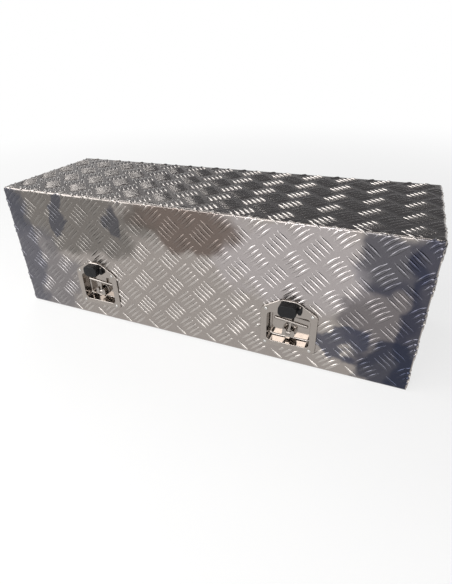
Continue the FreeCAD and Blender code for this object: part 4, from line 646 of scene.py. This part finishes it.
# watts follow from each lamp's own brightness and size
lamps = {
    "keySoftbox": {"place": (0.15, -1.25, 0.68), "target": (0.05, -0.1, 0.13), "size": (2.6, 0.34),
                   "roll": -38, "bright": 4.8},
    "rightSoftbox": {"place": (1.30, -0.90, 0.40), "target": (0.2, -0.1, 0.13), "size": (1.2, 0.34),
                     "roll": -40, "bright": 2.7},
    "leftLatchSoftbox": {"place": (-0.86, -0.82, 0.60), "target": (-0.19, -0.12, 0.04), "size": (0.5, 0.45),
                         "roll": 0, "bright": 4.4},
    "rightLatchSoftbox": {"place": (-0.02, -1.04, 0.79), "target": (0.19, -0.12, 0.04), "size": (0.3, 0.22),
                          "roll": 0, "bright": 3.8},
    "sideSoftbox": {"place": (-1.35, -0.5, 1.2), "target": (-0.2, -0.1, 0.25), "size": (1.3, 0.7),
                    "roll": 0, "bright": 3.6},
    "stripSoftbox": {"place": (0.1, -0.58, 1.38), "target": (0.1, -0.14, 0.25), "size": (1.2, 0.3),
                     "roll": 0, "bright": 2.8},
    "backLeftSoftbox": {"place": (-1.4, 1.3, 1.9), "target": (-0.1, 0, 0.25), "size": (1.2, 0.8),
                        "roll": 0, "bright": 4.4},
}
for name, lamp in lamps.items():
    light = bpy.data.lights.new(name, "AREA")
    light.shape = "RECTANGLE"
    light.size, light.size_y = lamp["size"]
    light.energy = lamp["bright"] * math.pi * lamp["size"][0] * lamp["size"][1]
    holder = bpy.data.objects.new(name, light)
    holder.location = lamp["place"]
    holder.visible_camera = False
    towards = Vector(lamp["target"]) - Vector(lamp["place"])
    aimed = towards.to_track_quat("-Z", "Y") @ Quaternion((0, 0, 1), math.radians(lamp["roll"]))
    holder.rotation_euler = aimed.to_euler()
    bpy.context.scene.collection.objects.link(holder)

world = bpy.data.worlds.new("studioRoom")
bpy.context.scene.world = world
world.use_nodes = True
world.node_tree.nodes.clear()
sky = addNode(world.node_tree, "ShaderNodeBackground", {
    "Color": linear(room["colour"]), "Strength": room["strength"]})
addNode(world.node_tree, "ShaderNodeOutputWorld", {"Surface": sky.outputs[0]})

# The camera was fitted to the box's corners in the photograph.
lensSettings = {
    "place": (0.30689, -0.65406, 0.45756), "ahead": (-0.36788, 0.77649, -0.51159),
    "across": (0.91178, 0.40921, -0.03455), "focal": 406.0, "centre": (212.7, 292.7),
    "frame": (452, 584),
}
camera = bpy.data.cameras.new("camera")
longSide = max(lensSettings["frame"])
camera.sensor_width = 36
camera.lens = lensSettings["focal"] / longSide * camera.sensor_width
camera.shift_x = (lensSettings["frame"][0] / 2 - lensSettings["centre"][0]) / longSide
camera.shift_y = (lensSettings["centre"][1] - lensSettings["frame"][1] / 2) / longSide
camera.clip_start = 0.01
viewer = bpy.data.objects.new("camera", camera)
ahead = Vector(lensSettings["ahead"]).normalized()
across = (Vector(lensSettings["across"]) - ahead * Vector(lensSettings["across"]).dot(ahead)).normalized()
above = across.cross(ahead)
viewer.matrix_world = Matrix.Translation(lensSettings["place"]) @ Matrix(
    (across, above, -ahead)).transposed().to_4x4()
bpy.context.scene.collection.objects.link(viewer)
bpy.context.scene.camera = viewer
bpy.context.scene.view_settings.view_transform = "Standard"
print("stage, lamps and camera set")

low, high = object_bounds()
